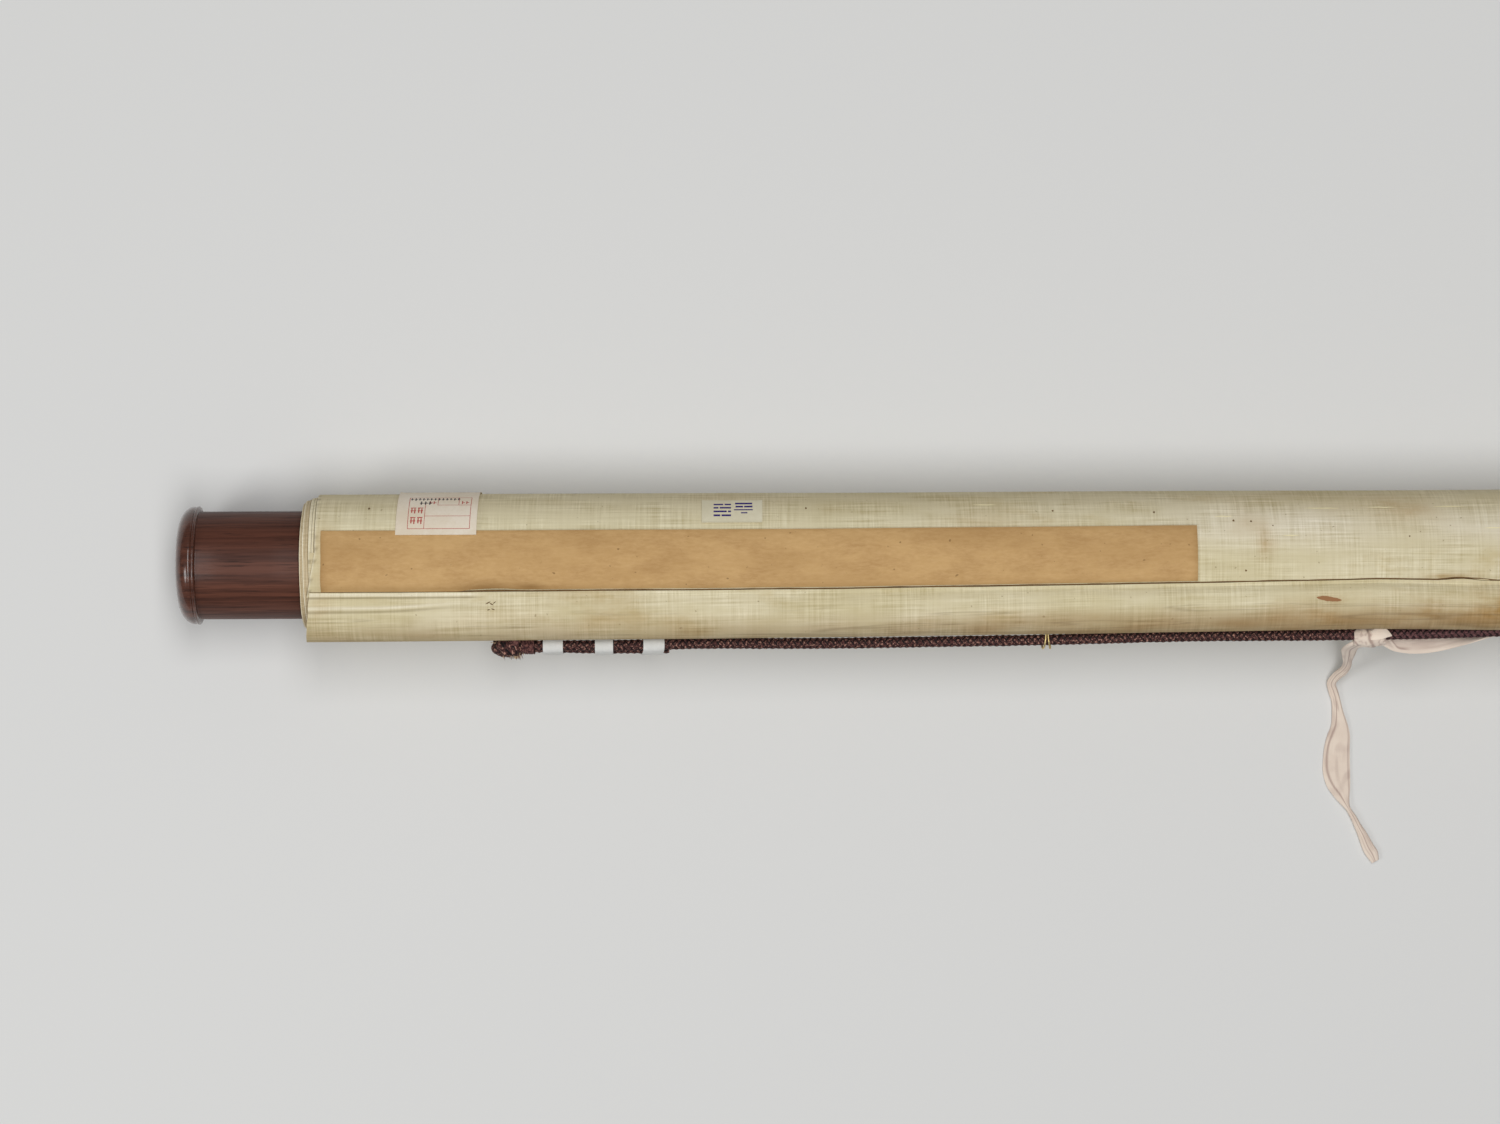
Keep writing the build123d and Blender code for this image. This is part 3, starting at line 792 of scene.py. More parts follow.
def make_marks(builder):
    for x, y, length in SLUBS:
        rows = []
        for share in spread(0, 1, 12):
            a = x + length * share
            b = y + 0.15 * wander(4 * share, x)
            half = 0.2 * sin(pi * share) + 0.02
            rows.append([(on_outer_turn(a, b - half), (a, 0)), (on_outer_turn(a, b, 0.09), (a, 0.2)),
                         (on_outer_turn(a, b + half), (a, 0.4))])
        builder.grid(rows, material=3)
    for x, y, size in SPECKS:
        ring = [(x + size * cos(a) * (1 + 0.3 * sin(3 * a + x)), y + size * sin(a)) for a in circle(9)]
        start = builder.add((on_outer_turn(a, b), (a, b)) for a, b in ring)
        builder.face(list(range(start, start + len(ring))), 2, False)
    for x, y, half_length, half_width, tilt, material in POCKET_MARKS:
        rows = []
        for k in range(17):
            along = -1 + k / 8
            width = half_width * (1 - along**2) ** 0.6 * (1 + 0.25 * wander(k / 2, x)) + 0.02
            middle = y + tilt * half_length * along + 0.12 * wander(k / 3, y)
            rows.append([on_floor(on_pocket(x + half_length * along, middle + width * side))
                         for side in (-1, -0.5, 0, 0.5, 1)])
        builder.grid(rows, material=material)


def make_scroll():
    """The mount wound round its roller: one sheet, with its pocket round the stave."""
    builder = Builder()
    shares = [-1 + 2 * k / 250 for k in range(251)]
    near_end = [1 - 0.004 * k for k in range(1, 6)] + [0.9992, 0.998]
    shares = sorted(set(shares + near_end + [-share for share in near_end]))
    make_pocket(builder, shares)
    step = 2.5
    windings = [-BURIED + step * k for k in range(int((360 + BURIED) / step) + 1)] + [360.0]
    builder.grid([[outer_vertex(winding, share) for share in shares] for winding in windings])
    builder.grid([bare_edge(winding) for winding in spread(360, 360 + DRIFTING_WINDING, 300)])
    builder.grid(plain_turns(-BURIED, 360, SHEET), flip=True)
    builder.grid(plain_turns(360, LAST_WINDING, 0.0))
    builder.grid(plain_turns(360, LAST_WINDING, SHEET), flip=True)
    for side in (-1, 1):
        builder.grid(cut_edge(side), material=1, flip=side > 0)
    make_marks(builder)
    piece = builder.piece("scroll_sheet", "silk", [SILK, EDGE, SEAM, SLUB, SMEAR], 50, "wear_and_painted_light", "scroll_roll")
    set_attribute(piece, "tone", [silk_tone(*v) for v in builder.vertices])
    return piece


# Stains on the silk as (x, y, half length, half width, strength)
STAINS = [
    (20, -15, 9, 4, 0.5), (43, -17, 10, 5, 0.6), (-20, -22, 22, 4, 0.45), (10, -21.5, 26, 4.5, 0.5),
    (47, -21.5, 18, 5, 0.55), (13, 19, 12, 6, 0.35), (-48, 14.6, 8, 5, 0.25), (-5, 20, 24, 4, 0.2),
    (21.5, -19.3, 2.6, 1.8, 1.8), (45.7, -18.7, 3.0, 1.8, 1.6), (26, -6.1, 8, 1.0, 1.0),
    (-18.4, -14.1, 6.5, 1.8, 0.4), (-41.7, 5.9, 2.6, 6, 0.8),
    (-130, -21, 40, 3, 0.25), (-300, -21, 60, 4, 0.3), (-392, 8, 4, 16, 0.35), (-392, -16, 4, 10, 0.35),
]


def blot(x, y, mark):
    centre_x, centre_y, long, wide, strength = mark
    return strength * exp(-((x - centre_x) / long) ** 2 - ((y - centre_y) / wide) ** 2)


def silk_tone(x, y, z):
    """Stain, greyness and paleness of the silk at a point."""
    upper = rise(15, 28, z)
    stain = sum(blot(x, y, mark) for mark in STAINS) * upper
    stain += 0.25 * rise(0.1, 0.7, wander(x / 60, y / 25, z / 25 + 4))
    # Darker towards the roll's lower edge, beyond y -26
    stain += 0.25 * rise(-26, -31, y)
    grey = 0.75 * rise(-60, -330, x) * rise(-12, 10, y)
    grey = max(grey, 0.35 * rise(0.0, 0.6, wander(x / 90, y / 30, 2.2)))
    pale = rise(-110, -30, x) * hill(y, 13, 13) * upper * (0.65 + 0.5 * wander(x / 22, y / 11, 7.7))
    return min(stain, 1.0), min(grey, 1.0), min(max(pale, 0.0), 1.0)


# Slips of paper glued to the roll

def paper_slip(name, node, slot, materials, columns, rows, place, thickness, ink=None, tone=None):
    """Thin sheet over a grid in millimetres: place(column, row) gives x, the angle and the radius."""
    builder = Builder()

    def layer(out):
        result = []
        for row in rows:
            result.append([])
            for column in columns:
                x, angle, radius = place(column, row)
                y, z = around(angle, radius + out)
                result[-1].append(((x, y, z), (column, row), tone(x, y) if tone else (0, 0, 0)))
        return result

    def ink_between(i, j):
        return ink((columns[j] + columns[j + 1]) / 2, (rows[i] + rows[i + 1]) / 2)

    top = layer(thickness)
    under = layer(0)
    builder.grid(top, material=ink_between if ink else 0)
    builder.grid(under, flip=True)
    for index, flip in ((0, False), (-1, True)):
        builder.grid([top[index], under[index]], flip=flip)
        builder.grid([[a[index], b[index]] for a, b in zip(top, under)], flip=not flip)
    builder.piece(name, slot, materials, 50, "tone" if tone else None, node)


def make_title_slip():
    left, right = -392.3, -66.8
    top = -29.5 * ARC
    height = 24.0

    def place(column, row):
        share = row / height
        bottom = seam_angle(column) * ARC - seam_wander(column) - 0.4 * hill(column, -327, 12)
        bottom -= lerp(0.2, 0.8, rise(-342, -336, column))
        start = top + lerp(0.85, 0, rise(-230, -60, column)) + 0.25 * wander(column / 70, 1.9)
        arc = lerp(start, bottom, share)
        edge = min(column - left, right - column, arc - start, bottom - arc + 1.5)
        lift = 0.12 + 0.10 * (0.5 + 0.5 * wander(column / 22, arc / 12, 4.0)) + 0.12 * rise(1.6, 0, edge)
        x = column + (0.35 * wander(share * 3.1, 2.2) if column in (left, right) else 0)
        return x, arc / ARC, ROLL_RADIUS + lift

    def tone(x, y):
        edge = rise(2.4, 0, min(x - left, right - x, 13.4 - y))
        seam = rise(2.2, 0.3, y + 9.4 - 0.0125 * max(x + 200, 0))
        spots = blot(x, y, (-330, -9, 10, 2.5, 0.6)) + blot(x, y, (-314, -8.5, 5, 1.6, 0.6))
        return min(0.35 * edge + 0.35 * seam + spots, 1.0), 0, 0

    columns = spread(left, right, 220)
    rows = spread(0, height, 20)
    paper_slip("title_slip_paper", "title_slip", "slip_paper", [SLIP], columns, rows, place, 0.22, tone=tone)


def lines_between(low, high, count, extra):
    """Even lines between low and high, with extra ones added in their places."""
    even = spread(low, high, count)
    kept = [v for v in even if v in (low, high) or all(abs(v - e) > 0.04 for e in extra)]
    return sorted(set(kept + [e for e in extra if low < e < high]))


def moved(x, s, boxes):
    """Printed boxes (from left, to left, from top, to top), moved along and round the roll."""
    return [(x + a, x + b, s + c, s + d) for a, b, c, d in boxes]


def make_label(name, paper, prints, left, width, top, bottom, lifts, slant):
    """Small slip with prints, each (ink, boxes); its top and bottom are angles."""
    low, high = top * ARC, bottom * ARC
    placed = [moved(left, low, boxes) for _, boxes in prints]
    boxes = [box for group in placed for box in group]

    def place(column, row):
        share = (row - low) / (high - low)
        edge = min(column - left, left + width - column, (1 - share) * 20)
        lift = 0.06 * wander(column / 6, row / 6, 3.0) + 0.14 * rise(1.2, 0, edge)
        radius = ROLL_RADIUS + lerp(*lifts, rise(0, 1, share)) + max(lift, 0) + 0.04
        return column + slant * (1 - share), row / ARC, radius

    def print_at(x, s):
        return max((k + 1 for k, group in enumerate(placed)
                    if any(a < x < b and c < s < d for a, b, c, d in group)), default=0)

    columns = lines_between(left, left + width, 30, [v for box in boxes for v in box[:2]])
    rows = lines_between(low, high, 36, [v for box in boxes for v in box[2:]])
    materials = [paper] + [ink for ink, _ in prints]
    paper_slip(f"{name}_paper", name, "label_paper", materials, columns, rows, place, 0.2, print_at)


def make_corner_label():
    """Ruled red form with short generic strokes."""
    form = (113 - 23.6) * ARC - 19.9
    ruled = [(4.3, 27.6, 0, 0.22), (4.3, 27.6, 17.28, 17.5), (4.3, 4.52, 0, 17.5), (27.38, 27.6, 0, 17.5),
             (10.4, 10.6, 5.2, 17.5), (10.6, 27.4, 11.6, 11.8), (15.2, 27.4, 5.6, 5.8), (22.8, 23.0, 0, 5.7),
             (15.0, 15.2, 0, 5.8)]
    red = moved(0, form, ruled)
    for start in (7.2, 12.2):
        for column in (5.2, 7.8):
            strokes = [(0, 2.0, 0, 0.45), (0.2, 0.65, 0, 2.9), (1.3, 1.75, 0.6, 3.2), (0, 2.0, 1.6, 2.0)]
            red += moved(column, form + start, strokes)
    for column in (12.0, 13.4, 24.0, 25.6):
        red += moved(column, form, [(0, 0.4, 3.0, 5.0), (0, 1.1, 3.9, 4.3)])
    black = []
    for k in range(13):
        depth = 1.0 + 0.8 * abs(wander(k * 1.7, 3.9))
        strokes = [(0, 0.42, 0.5, 0.5 + depth * 1.6), (-0.2, 0.9, 0.6 + depth * 0.6, 0.95 + depth * 0.6)]
        black += moved(5.0 + 1.45 * k, form, strokes)
    for k in range(3):
        black += moved(8.6 + 1.6 * k, form, [(0, 0.5, 3.2, 5.4), (-0.3, 1.1, 4.2, 4.6)])
    make_label("corner_label", LABEL, [(RED_INK, red), (BLACK_INK, black)], left=-364.6, width=30.1,
               top=-113.0, bottom=-23.6, lifts=(0.12, 0.55), slant=0.5)


def make_stamp_label():
    """Two groups of plain bars in violet ink."""
    bars = [(12.4, 18.8, 1.8, 2.9), (12.6, 15.4, 3.8, 4.8), (15.8, 18.9, 3.8, 4.8), (12.0, 19.0, 5.8, 6.4),
            (14.6, 17.0, 7.4, 8.0)]
    for row, split in enumerate((8.0, 6.2, 9.3, 6.9)):
        top = 2.5 + 2.0 * row
        bars += [(4.4, split, top, 3.4 + 2.0 * row), (split + 0.5, 10.9, top, 3.4 + 2.0 * row)]
    make_label("stamp_label", STAMP, [(VIOLET_INK, bars)], left=-250.8, width=22.6, top=-60.5, bottom=-34.0,
               lifts=(0.12, 0.14), slant=0.0)


# Turned knobs

def knob_outline():
    """Stations as (distance from the roll's end, radius): neck, groove, bead, groove, cap and its face."""
    neck, groove, cap = 20.3, 21.85, 22.2
    bead_at, cap_from, cap_depth, rounding = 39.95, 41.3, 5.8, 8.0
    stations = [(0.0, 8.0), (0.0, neck - 0.5), (0.15, neck - 0.15), (0.5, neck), (12, neck), (25, neck),
                (38.9, neck), (39.1, neck + 0.05), (39.3, groove - 0.2)]
    stations += [(bead_at - 0.55 * cos(turn), groove + 0.5 * sin(turn)) for turn in spread(0, pi, 8)]
    stations += [(40.65, groove - 0.1), (40.85, groove), (41.05, 22.1), (cap_from, cap)]
    face = cap - rounding
    stations += [(cap_from + cap_depth * sin(turn), face + rounding * cos(turn))
                 for turn in spread(0, pi / 2, 12)[1:]]
    return stations + [(cap_from + cap_depth + 0.6 * (1 - share**2), face * share)
                       for share in spread(1, 0, 8)[1:]]


def make_knob(side):
    builder = Builder()
    rows = []
    for along, radius in knob_outline():
        x = side * (HALF_WIDTH + 0.2 + along)
        radius = max(radius, 0.02)
        paint = (rise(39, 39.6, along + 0.2), 0, 0)
        rows.append([((x, radius * cos(turn), AXIS_HEIGHT + radius * sin(turn)), (along, k), paint)
                     for k, turn in enumerate(circle(128))])
    builder.grid(rows, closed=True, flip=side < 0)
    name = "left" if side < 0 else "right"
    builder.piece(f"knob_{name}_turned", "knob_wood", [KNOB], 35, "polish", f"knob_{name}")


# Hanging cord

LEFT_END = [
    (-263.5, -31.7, 27.9), (-281.0, -31.9, 27.6), (-298.0, -31.6, 27.5), (-309.3, -31.4, 26.9),
    (-317.2, -31.3, 23.3), (-326.8, -31.0, 22.6), (-326.6, -30.8, 32.3), (-316.0, -30.7, 32.0),
    (-302.0, -30.6, 32.1), (-281.0, -30.8, 31.9),
]
MIDDLE = [
    (-250.0, -29.9, 32.4), (-208.0, -30.3, 33.6), (-160.0, -29.7, 34.7), (-119.0, -29.2, 36.1),
    (-76.0, -28.0, 36.3), (-28.0, -27.9, 36.6), (18.0, -27.6, 36.7), (56.0, -26.3, 36.9), (92.0, -27.6, 36.2),
    (123.0, -29.2, 36.1), (165.0, -29.9, 34.9), (210.0, -30.1, 33.4), (252.0, -29.9, 32.3),
]
CORD_ROUTE = LEFT_END + MIDDLE + [(-x, y, z) for x, y, z in reversed(LEFT_END)]
CORD_STEP = 0.4


def route_line(route):
    """Points along the smooth NURBS line of a route, in millimetres."""
    curve = bpy.data.curves.new("route", "CURVE")
    curve.dimensions = "3D"
    spline = curve.splines.new("NURBS")
    spline.points.add(len(route) - 1)
    for point, place in zip(spline.points, route):
        point.co = (*[c * MM for c in place], 1)
    spline.order_u = 3
    spline.use_endpoint_u = True
    spline.resolution_u = 24
    carrier = add_object("route", curve)
    mesh = bpy.data.meshes.new_from_object(carrier)
    line = np.array([v.co[:] for v in mesh.vertices]) / MM
    bpy.data.objects.remove(carrier)
    bpy.data.meshes.remove(mesh)
    return line


def even_line(line, step):
    """The same line with its points an even step apart, and its length."""
    lengths = np.concatenate([[0], np.cumsum(np.linalg.norm(np.diff(line, axis=0), axis=1))])
    wanted = np.linspace(0, lengths[-1], int(lengths[-1] / step) + 1)
    return np.stack([np.interp(wanted, lengths, line[:, i]) for i in range(3)], axis=1), lengths[-1]


def frames_along(line):
    """Two cross directions at each point, without twist."""
    directions = np.gradient(line, axis=0)
    directions /= np.linalg.norm(directions, axis=1)[:, None]
    side = np.cross(directions[0], (0, 0, 1))
    result = []
    for direction in directions:
        side = side - direction * (side @ direction)
        side /= np.linalg.norm(side)
        result.append((side, np.cross(direction, side)))
    return result


def braid_height(along, turn):
    """Relief of a round braid, four strands each way, from 0 in the gaps to 1 on the strands."""
    pitch = 2.4
    p = turn * 4 / (2 * pi) + along / pitch
    q = turn * 4 / (2 * pi) - along / pitch
    over = (floor(p) + floor(q)) % 2 == 0
    across = (q if over else p) % 1.0
    running = (p if over else q) % 1.0
    return sqrt(max(1 - (2 * across - 1) ** 2, 0.0)) * (0.62 + 0.38 * sin(pi * running))


def clump(centre, turn):
    """Frayed lump of yarn where the cord is folded back through its outer ring."""
    x = abs(centre[0])
    lumps = wander(centre[0] / 1.7, centre[2] / 1.7, turn * 1.2)
    return rise(317.0, 321.5, x) * rise(332.0, 325.5, x) * (1.75 + 0.75 * lumps)


def make_cord():
    line, length = even_line(route_line(CORD_ROUTE), CORD_STEP)
    builder = Builder()
    rows = []
    for index, (centre, (side, up)) in enumerate(zip(line, frames_along(line))):
        along = index * CORD_STEP
        swell = 1 + 0.05 * wander(along / 7, 1.7) + 0.03 * wander(along / 1.3, 5.7)
        row = []
        for k, turn in enumerate(circle(24)):
            height = braid_height(along, turn)
            radius = (CORD_RADIUS - 0.42 + 0.46 * height) * swell + clump(centre, turn)
            # Paint: Red is the braid's height, which the material turns into painted shade in its gaps; Green
            # makes the yarn mottled towards the left
            row.append((tuple(centre + (side * cos(turn) + up * sin(turn)) * radius),
                        (along, k * 0.55), (height, rise(20, -30, centre[0]), 0)))
        rows.append(row)
    builder.grid(rows, closed=True, capped=True)
    return builder.piece("cord_braid", "braid", [BRAID], paint="relief", node="hanging_cord"), line, length


# Rings, bands and whippings

def tube(builder, line, radii, sides, material=0):
    """Round rod through the points of a line, with a radius for each."""
    rows = []
    for index, (centre, radius) in enumerate(zip(line, radii)):
        ahead = (line[min(index + 1, len(line) - 1)] - line[max(index - 1, 0)]).normalized()
        side = ahead.cross(Vector((1, 0, 0)))
        if side.length < 0.2:
            side = ahead.cross(Vector((0, 0, 1)))
        side.normalize()
        up = ahead.cross(side)
        rows.append([(tuple(centre + (side * cos(turn) + up * sin(turn)) * radius), (index * 0.5, k * 0.3))
                     for k, turn in enumerate(circle(sides))])
    builder.grid(rows, material, closed=True, capped=True)


def make_rings():
    """Eyelets of doubled wire that spread into a V round the cord, their legs driven into the stave."""
    builder = Builder()
    outer = (321.0, 5.2, 0.6)
    inner = (121.9, 4.1, 1.2)
    for side_of_roll, (distance, reach, gap) in ((-1, outer), (-1, inner), (1, inner), (1, outer)):
        x = side_of_roll * distance
        angle = stave_angle(x)
        centre = Vector((x, *on_stave(angle, STAVE_SIDE + reach, ROLL_RADIUS + 0.8)))
        out = Vector((0, -cos(radians(angle)), -sin(radians(angle))))
        cross = out.cross(Vector((1, 0, 0)))
        eye = CORD_RADIUS + gap
        for side in (-1, 1):
            def leg(depth, apart, spread_out):
                return centre - out * (reach + depth) + cross * apart + Vector((spread_out * side, 0, 0))

            line = [leg(5.5, 0.45, 0.3), leg(-0.2, 0.5, 0.35)]
            for turn in spread(radians(132), radians(-132), 28):
                along = Vector((side * lerp(0.4, 1.5, 0.5 + 0.5 * cos(turn)), 0, 0))
                line.append(centre + out * (eye * cos(turn)) + cross * (eye * sin(turn)) + along)
            line += [leg(-0.2, -0.5, 0.35), leg(5.5, -0.45, 0.3)]
            tube(builder, line, [0.34] * len(line), 8)
    builder.piece("cord_ring_wires", "ring_brass", [BRASS], 50, node="cord_rings")


def strand_points(line, x):
    """Lower and upper strand of the doubled cord at x, as (y, z)."""
    crossings = []
    for one, two in zip(line, line[1:]):
        if (one[0] - x) * (two[0] - x) <= 0 and one[0] != two[0]:
            crossings.append(lerp(one, two, (x - one[0]) / (two[0] - one[0]))[1:])
    crossings.sort(key=lambda point: point[1])
    return crossings[0], crossings[-1]


def oval(line, x, radius_at):
    """Oval round both strands at x, as points; radius_at(turn) is its distance from the strands' centres."""
    lower, upper = strand_points(line, x)
    middle = (lower + upper) / 2
    half = np.linalg.norm(upper - lower) / 2
    axis = (upper - lower) / (2 * half)
    across = np.array((-axis[1], axis[0]))
    points = []
    for turn in circle(40):
        reach = radius_at(turn)
        shift = 0 if abs(sin(turn)) < 1e-6 else half if sin(turn) > 0 else -half
        points.append(middle + across * reach * cos(turn) + axis * (reach * sin(turn) + shift))
    return points


def sleeve(names, material, line, x, width, thickness, shape, slant=0.0):
    """Sleeve round both strands of the doubled cord, with shape(along, turn) as its relief."""
    inside = CORD_RADIUS + 0.3
    count = max(int(width / 0.22), 8)
    hem = 0.02
    profile = [(k / count, thickness * (0.85 if k in (0, count) else 1)) for k in range(count + 1)]
    rows = []
    for share, thick in [(0.0, hem), *profile, (1.0, hem)]:
        along = (share - 0.5) * width
        ring = oval(line, x + along, lambda turn: inside + thick + (shape(along, turn) if thick > hem else 0))
        middle_z = sum(p[1] for p in ring) / len(ring)
        rows.append([((x + along + slant * (p[1] - middle_z), *p), (along, k * 0.5))
                     for k, p in enumerate(ring)])
    builder = Builder()
    builder.grid(rows, closed=True, flip=True)
    builder.grid([rows[0], rows[-1]], closed=True)
    name, node, slot = names
    return builder.piece(name, slot, [material], 50, node=node)


# Paper bands as (distance from the roll's middle, width), and the whipping in the same way
BANDS = ((307.1, 7.5), (287.9, 6.8), (269.6, 7.9))
BAND_THICKNESS = 0.34
WHIPPING_AT = (316.4, 4.6)
WHIPPING_THICKNESS = 0.35


def make_bands(line):
    """Three paper bands and a whipping round the doubled cord at each end."""
    pieces = []
    for side, name in ((-1, "left"), (1, "right")):
        for number, (centre, width) in enumerate(BANDS, start=1):
            def wrapped(along, turn):
                overlap = 0.12 * rise(2.2, 2.3, turn) * rise(4.4, 4.3, turn)
                return overlap + 0.10 * wander(along / 3, turn * 1.2, side * number * 3.7) - 0.06

            names = (f"band_{name}_{number}_paper", f"cord_band_{name}_{number}", "band_paper")
            slant = 0.12 if number == 3 else 0.02
            pieces.append(sleeve(names, BAND, line, side * centre, width, BAND_THICKNESS, wrapped, slant))

        def wound(along, turn):
            return 0.12 * sin(2 * pi * along / 0.85 + turn) + 0.35 * wander(along / 1.3, turn * 1.6, side * 5)

        names = (f"whipping_{name}_yarn", f"cord_whipping_{name}", "whipping_thread")
        centre, width = WHIPPING_AT
        pieces.append(sleeve(names, WHIPPING, line, side * centre, width, WHIPPING_THICKNESS, wound))
    return pieces


def make_tufts():
    """Loose yarn ends that stand off the cord's folds, as (foot, tip, radius, dark)."""
    ends = []
    for k in range(64):
        turn = 2.4 * k
        out = Vector((0.9 * wander(k * 1.3, 2.7), -0.55 - 0.6 * abs(cos(turn)), 0.9 * sin(turn))).normalized()
        foot = Vector((-322.2 + 6.5 * wander(k * 1.7, 0.3), -31.2, 27.2 + 8 * wander(k * 0.71, 8.2)))
        length = 1.1 + 1.3 * abs(wander(k * 0.9, 2.2))
        ends.append((foot + out * 2.4, foot + out * (3.4 + length) + Vector((0, 0, -0.5)), 0.17, k % 3 > 0))
    for k in range(9):
        foot = Vector((-321.0 + 1.4 * wander(k * 2.3, 5.0), -33.4, 29.0 - 0.9 * k))
        ends.append((foot, foot + Vector((1.6 * wander(k * 1.9, 3.3), -2.3, -0.8)), 0.3, False))
    for k in range(30):
        foot = Vector((-321.0 + 2.4 * wander(k * 1.1, 7.0), -30.2 + 0.5 * wander(k * 1.9, 4.0), 35.9))
        ends.append((foot, foot + Vector((1.2 * wander(k * 2.1, 3.7), 2.3, 1.6)), 0.42, True))
    ends.append((Vector((-326.5, -30.6, 31.0)), Vector((-330.6, -29.4, 31.6)), 0.26, False))
    ends.append((Vector((-326.0, -29.6, 31.5)), Vector((-330.0, -28.6, 31.0)), 0.2, False))
    builder = Builder()
    shares = spread(0, 1, 5)
    for index, (foot, tip, radius, dark) in enumerate(ends):
        bend = Vector((0.5 * wander(index, 1.1), 0.3, 0.4))
        line = [foot.lerp(tip, share) + bend * sin(pi * share) for share in shares]
        radii = [radius * (1 - 0.8 * share**2) for share in shares]
        for mirror in (1, -1):
            tube(builder, [place * Vector((mirror, 1, 1)) for place in line], radii, 5, 0 if dark else 1)
    return builder.piece("cord_fold_fibres", "whipping_thread", [WHIPPING, TUFT], 60)


# Cloth tie: a station is a centre (x, y, z), half the width as a vector (x, y, z), and a thickness

TIE_TAIL = [
    (6.2, -115.2, 0.9, 1.3, 0.7, 0, 1.4), (5.0, -112.4, 1.0, 2.1, 1.0, 0, 1.7),
    (3.3, -109.6, 1.1, 2.0, 1.0, 0, 1.8), (1.3, -105.1, 1.1, 1.6, 0.8, 0, 1.9),
    (-0.5, -101.7, 1.1, 1.2, 0.6, 0, 1.9), (-2.2, -98.3, 1.2, 1.0, 0.5, 0, 2.0),
    (-4.2, -95.0, 1.2, 0.8, 0.5, 0, 2.1), (-5.6, -92.0, 1.1, 1.9, 0.8, 0, 1.8),
    (-6.6, -88.9, 0.9, 3.2, 1.2, 0, 1.4), (-7.8, -85.4, 0.8, 4.5, 0.9, 0, 1.2),
    (-8.5, -80.9, 0.7, 5.2, 0.2, 0, 1.1), (-8.5, -75.6, 0.7, 5.1, 0.0, 0, 1.1),
    (-8.2, -71.0, 0.7, 4.8, -0.2, 0, 1.1), (-7.6, -67.0, 0.7, 4.3, -0.2, 0, 1.2),
    (-7.3, -63.0, 0.8, 3.2, 0.0, 0, 1.4), (-8.0, -58.0, 0.9, 2.2, 0.0, 0, 1.6),
    (-8.7, -53.5, 1.0, 1.7, 0.3, 0, 1.8), (-9.8, -49.8, 1.3, 1.7, 0.5, 0.1, 1.7),
    (-10.5, -46.7, 2.6, 1.6, -0.5, 0.4, 1.5), (-8.8, -43.9, 5.6, 0.9, -1.3, 0.5, 1.4),
    (-6.9, -42.0, 9.0, 0.9, -1.3, 0.6, 1.4), (-6.1, -39.9, 12.5, 1.5, -0.6, 0.5, 1.4),
    (-6.4, -37.9, 17.0, 1.7, 0.1, 0.3, 1.3), (-6.8, -35.5, 22.5, 2.5, 0.2, 0, 1.2),
    (-7.1, -33.0, 29.0, 3.1, 0.2, 0, 1.2), (-5.0, -31.2, 35.6, 3.0, -0.4, 0.5, 1.6),
    (-2.0, -29.6, 36.4, 1.2, -1.0, 0.8, 1.4),
]
TIE_LOOP = [
    (2.6, -29.2, 35.0, 0.2, -1.7, -0.5, 1.4), (4.8, -29.6, 34.2, 0.2, -2.6, -0.6, 1.3),
    (9.0, -30.2, 33.2, 0.0, -3.9, -0.5, 1.2), (15.0, -30.6, 32.7, 0.0, -4.4, 0.1, 1.1),
    (21.5, -30.4, 32.4, 0.0, -4.4, 0.5, 1.1), (28.5, -29.9, 32.0, 0.0, -3.7, 1.1, 1.1),
    (36.5, -29.1, 31.0, 0.0, -2.3, 2.7, 1.1), (44.5, -28.1, 30.0, 0.0, -0.9, 4.2, 1.1),
    (53.0, -27.5, 29.2, 0.0, -0.2, 4.6, 1.1), (63.0, -27.6, 27.8, 0.0, 0.0, 4.6, 1.1),
    (72.0, -27.7, 25.9, 0.3, 0.0, 4.4, 1.1),
]
TIE_CORNER = [
    (-1.8, -28.4, 38.9, 0.2, 1.0, -0.1, 0.5), (0.4, -27.7, 39.9, 0.1, 2.0, -0.4, 0.5),
    (2.6, -27.4, 40.1, 0.1, 2.1, -0.3, 0.5), (5.0, -27.2, 39.9, -0.1, 1.6, 0.0, 0.5),
    (6.9, -27.9, 39.4, -0.2, 0.4, 0.1, 0.4),
]


def tape_grid(builder, stations, per_station, relief):
    """Closed strip of tape through its stations; relief(along, across) gives its height and painted shade,
    and its underside gets more painted shade.
    """
    line = through(stations, (len(stations) - 1) * per_station)
    across_steps = [-1 + 2 * k / 24 for k in range(25)]
    rows = []
    along = 0.0
    for index, values in enumerate(line):
        centre, half, thickness = values[:3], values[3:6], values[6]
        before = line[max(index - 1, 0)][:3]
        along += np.linalg.norm(centre - before)
        normal = np.cross(line[min(index + 1, len(line) - 1)][:3] - before, half)
        normal /= np.linalg.norm(normal)
        row = []
        for upper, steps in ((True, across_steps), (False, across_steps[::-1])):
            for across in steps:
                height, shade = relief(along, across)
                body = thickness * 0.5 * (1 - 0.5 * abs(across) ** 6)
                out = body * 0.55 + height if upper else 0.3 * min(height, 0) - body
                x, y, z = centre + half * across + normal * out
                # The underside gets 0.2 more painted shade
                row.append(((x, y, max(z, 0.45 if upper else 0.15)),
                            (across * np.linalg.norm(half), along),
                            (shade if upper else min(shade + 0.2, 1), 0, 0)))
        rows.append(row)
    builder.grid(rows, closed=True, flip=True, capped=True)


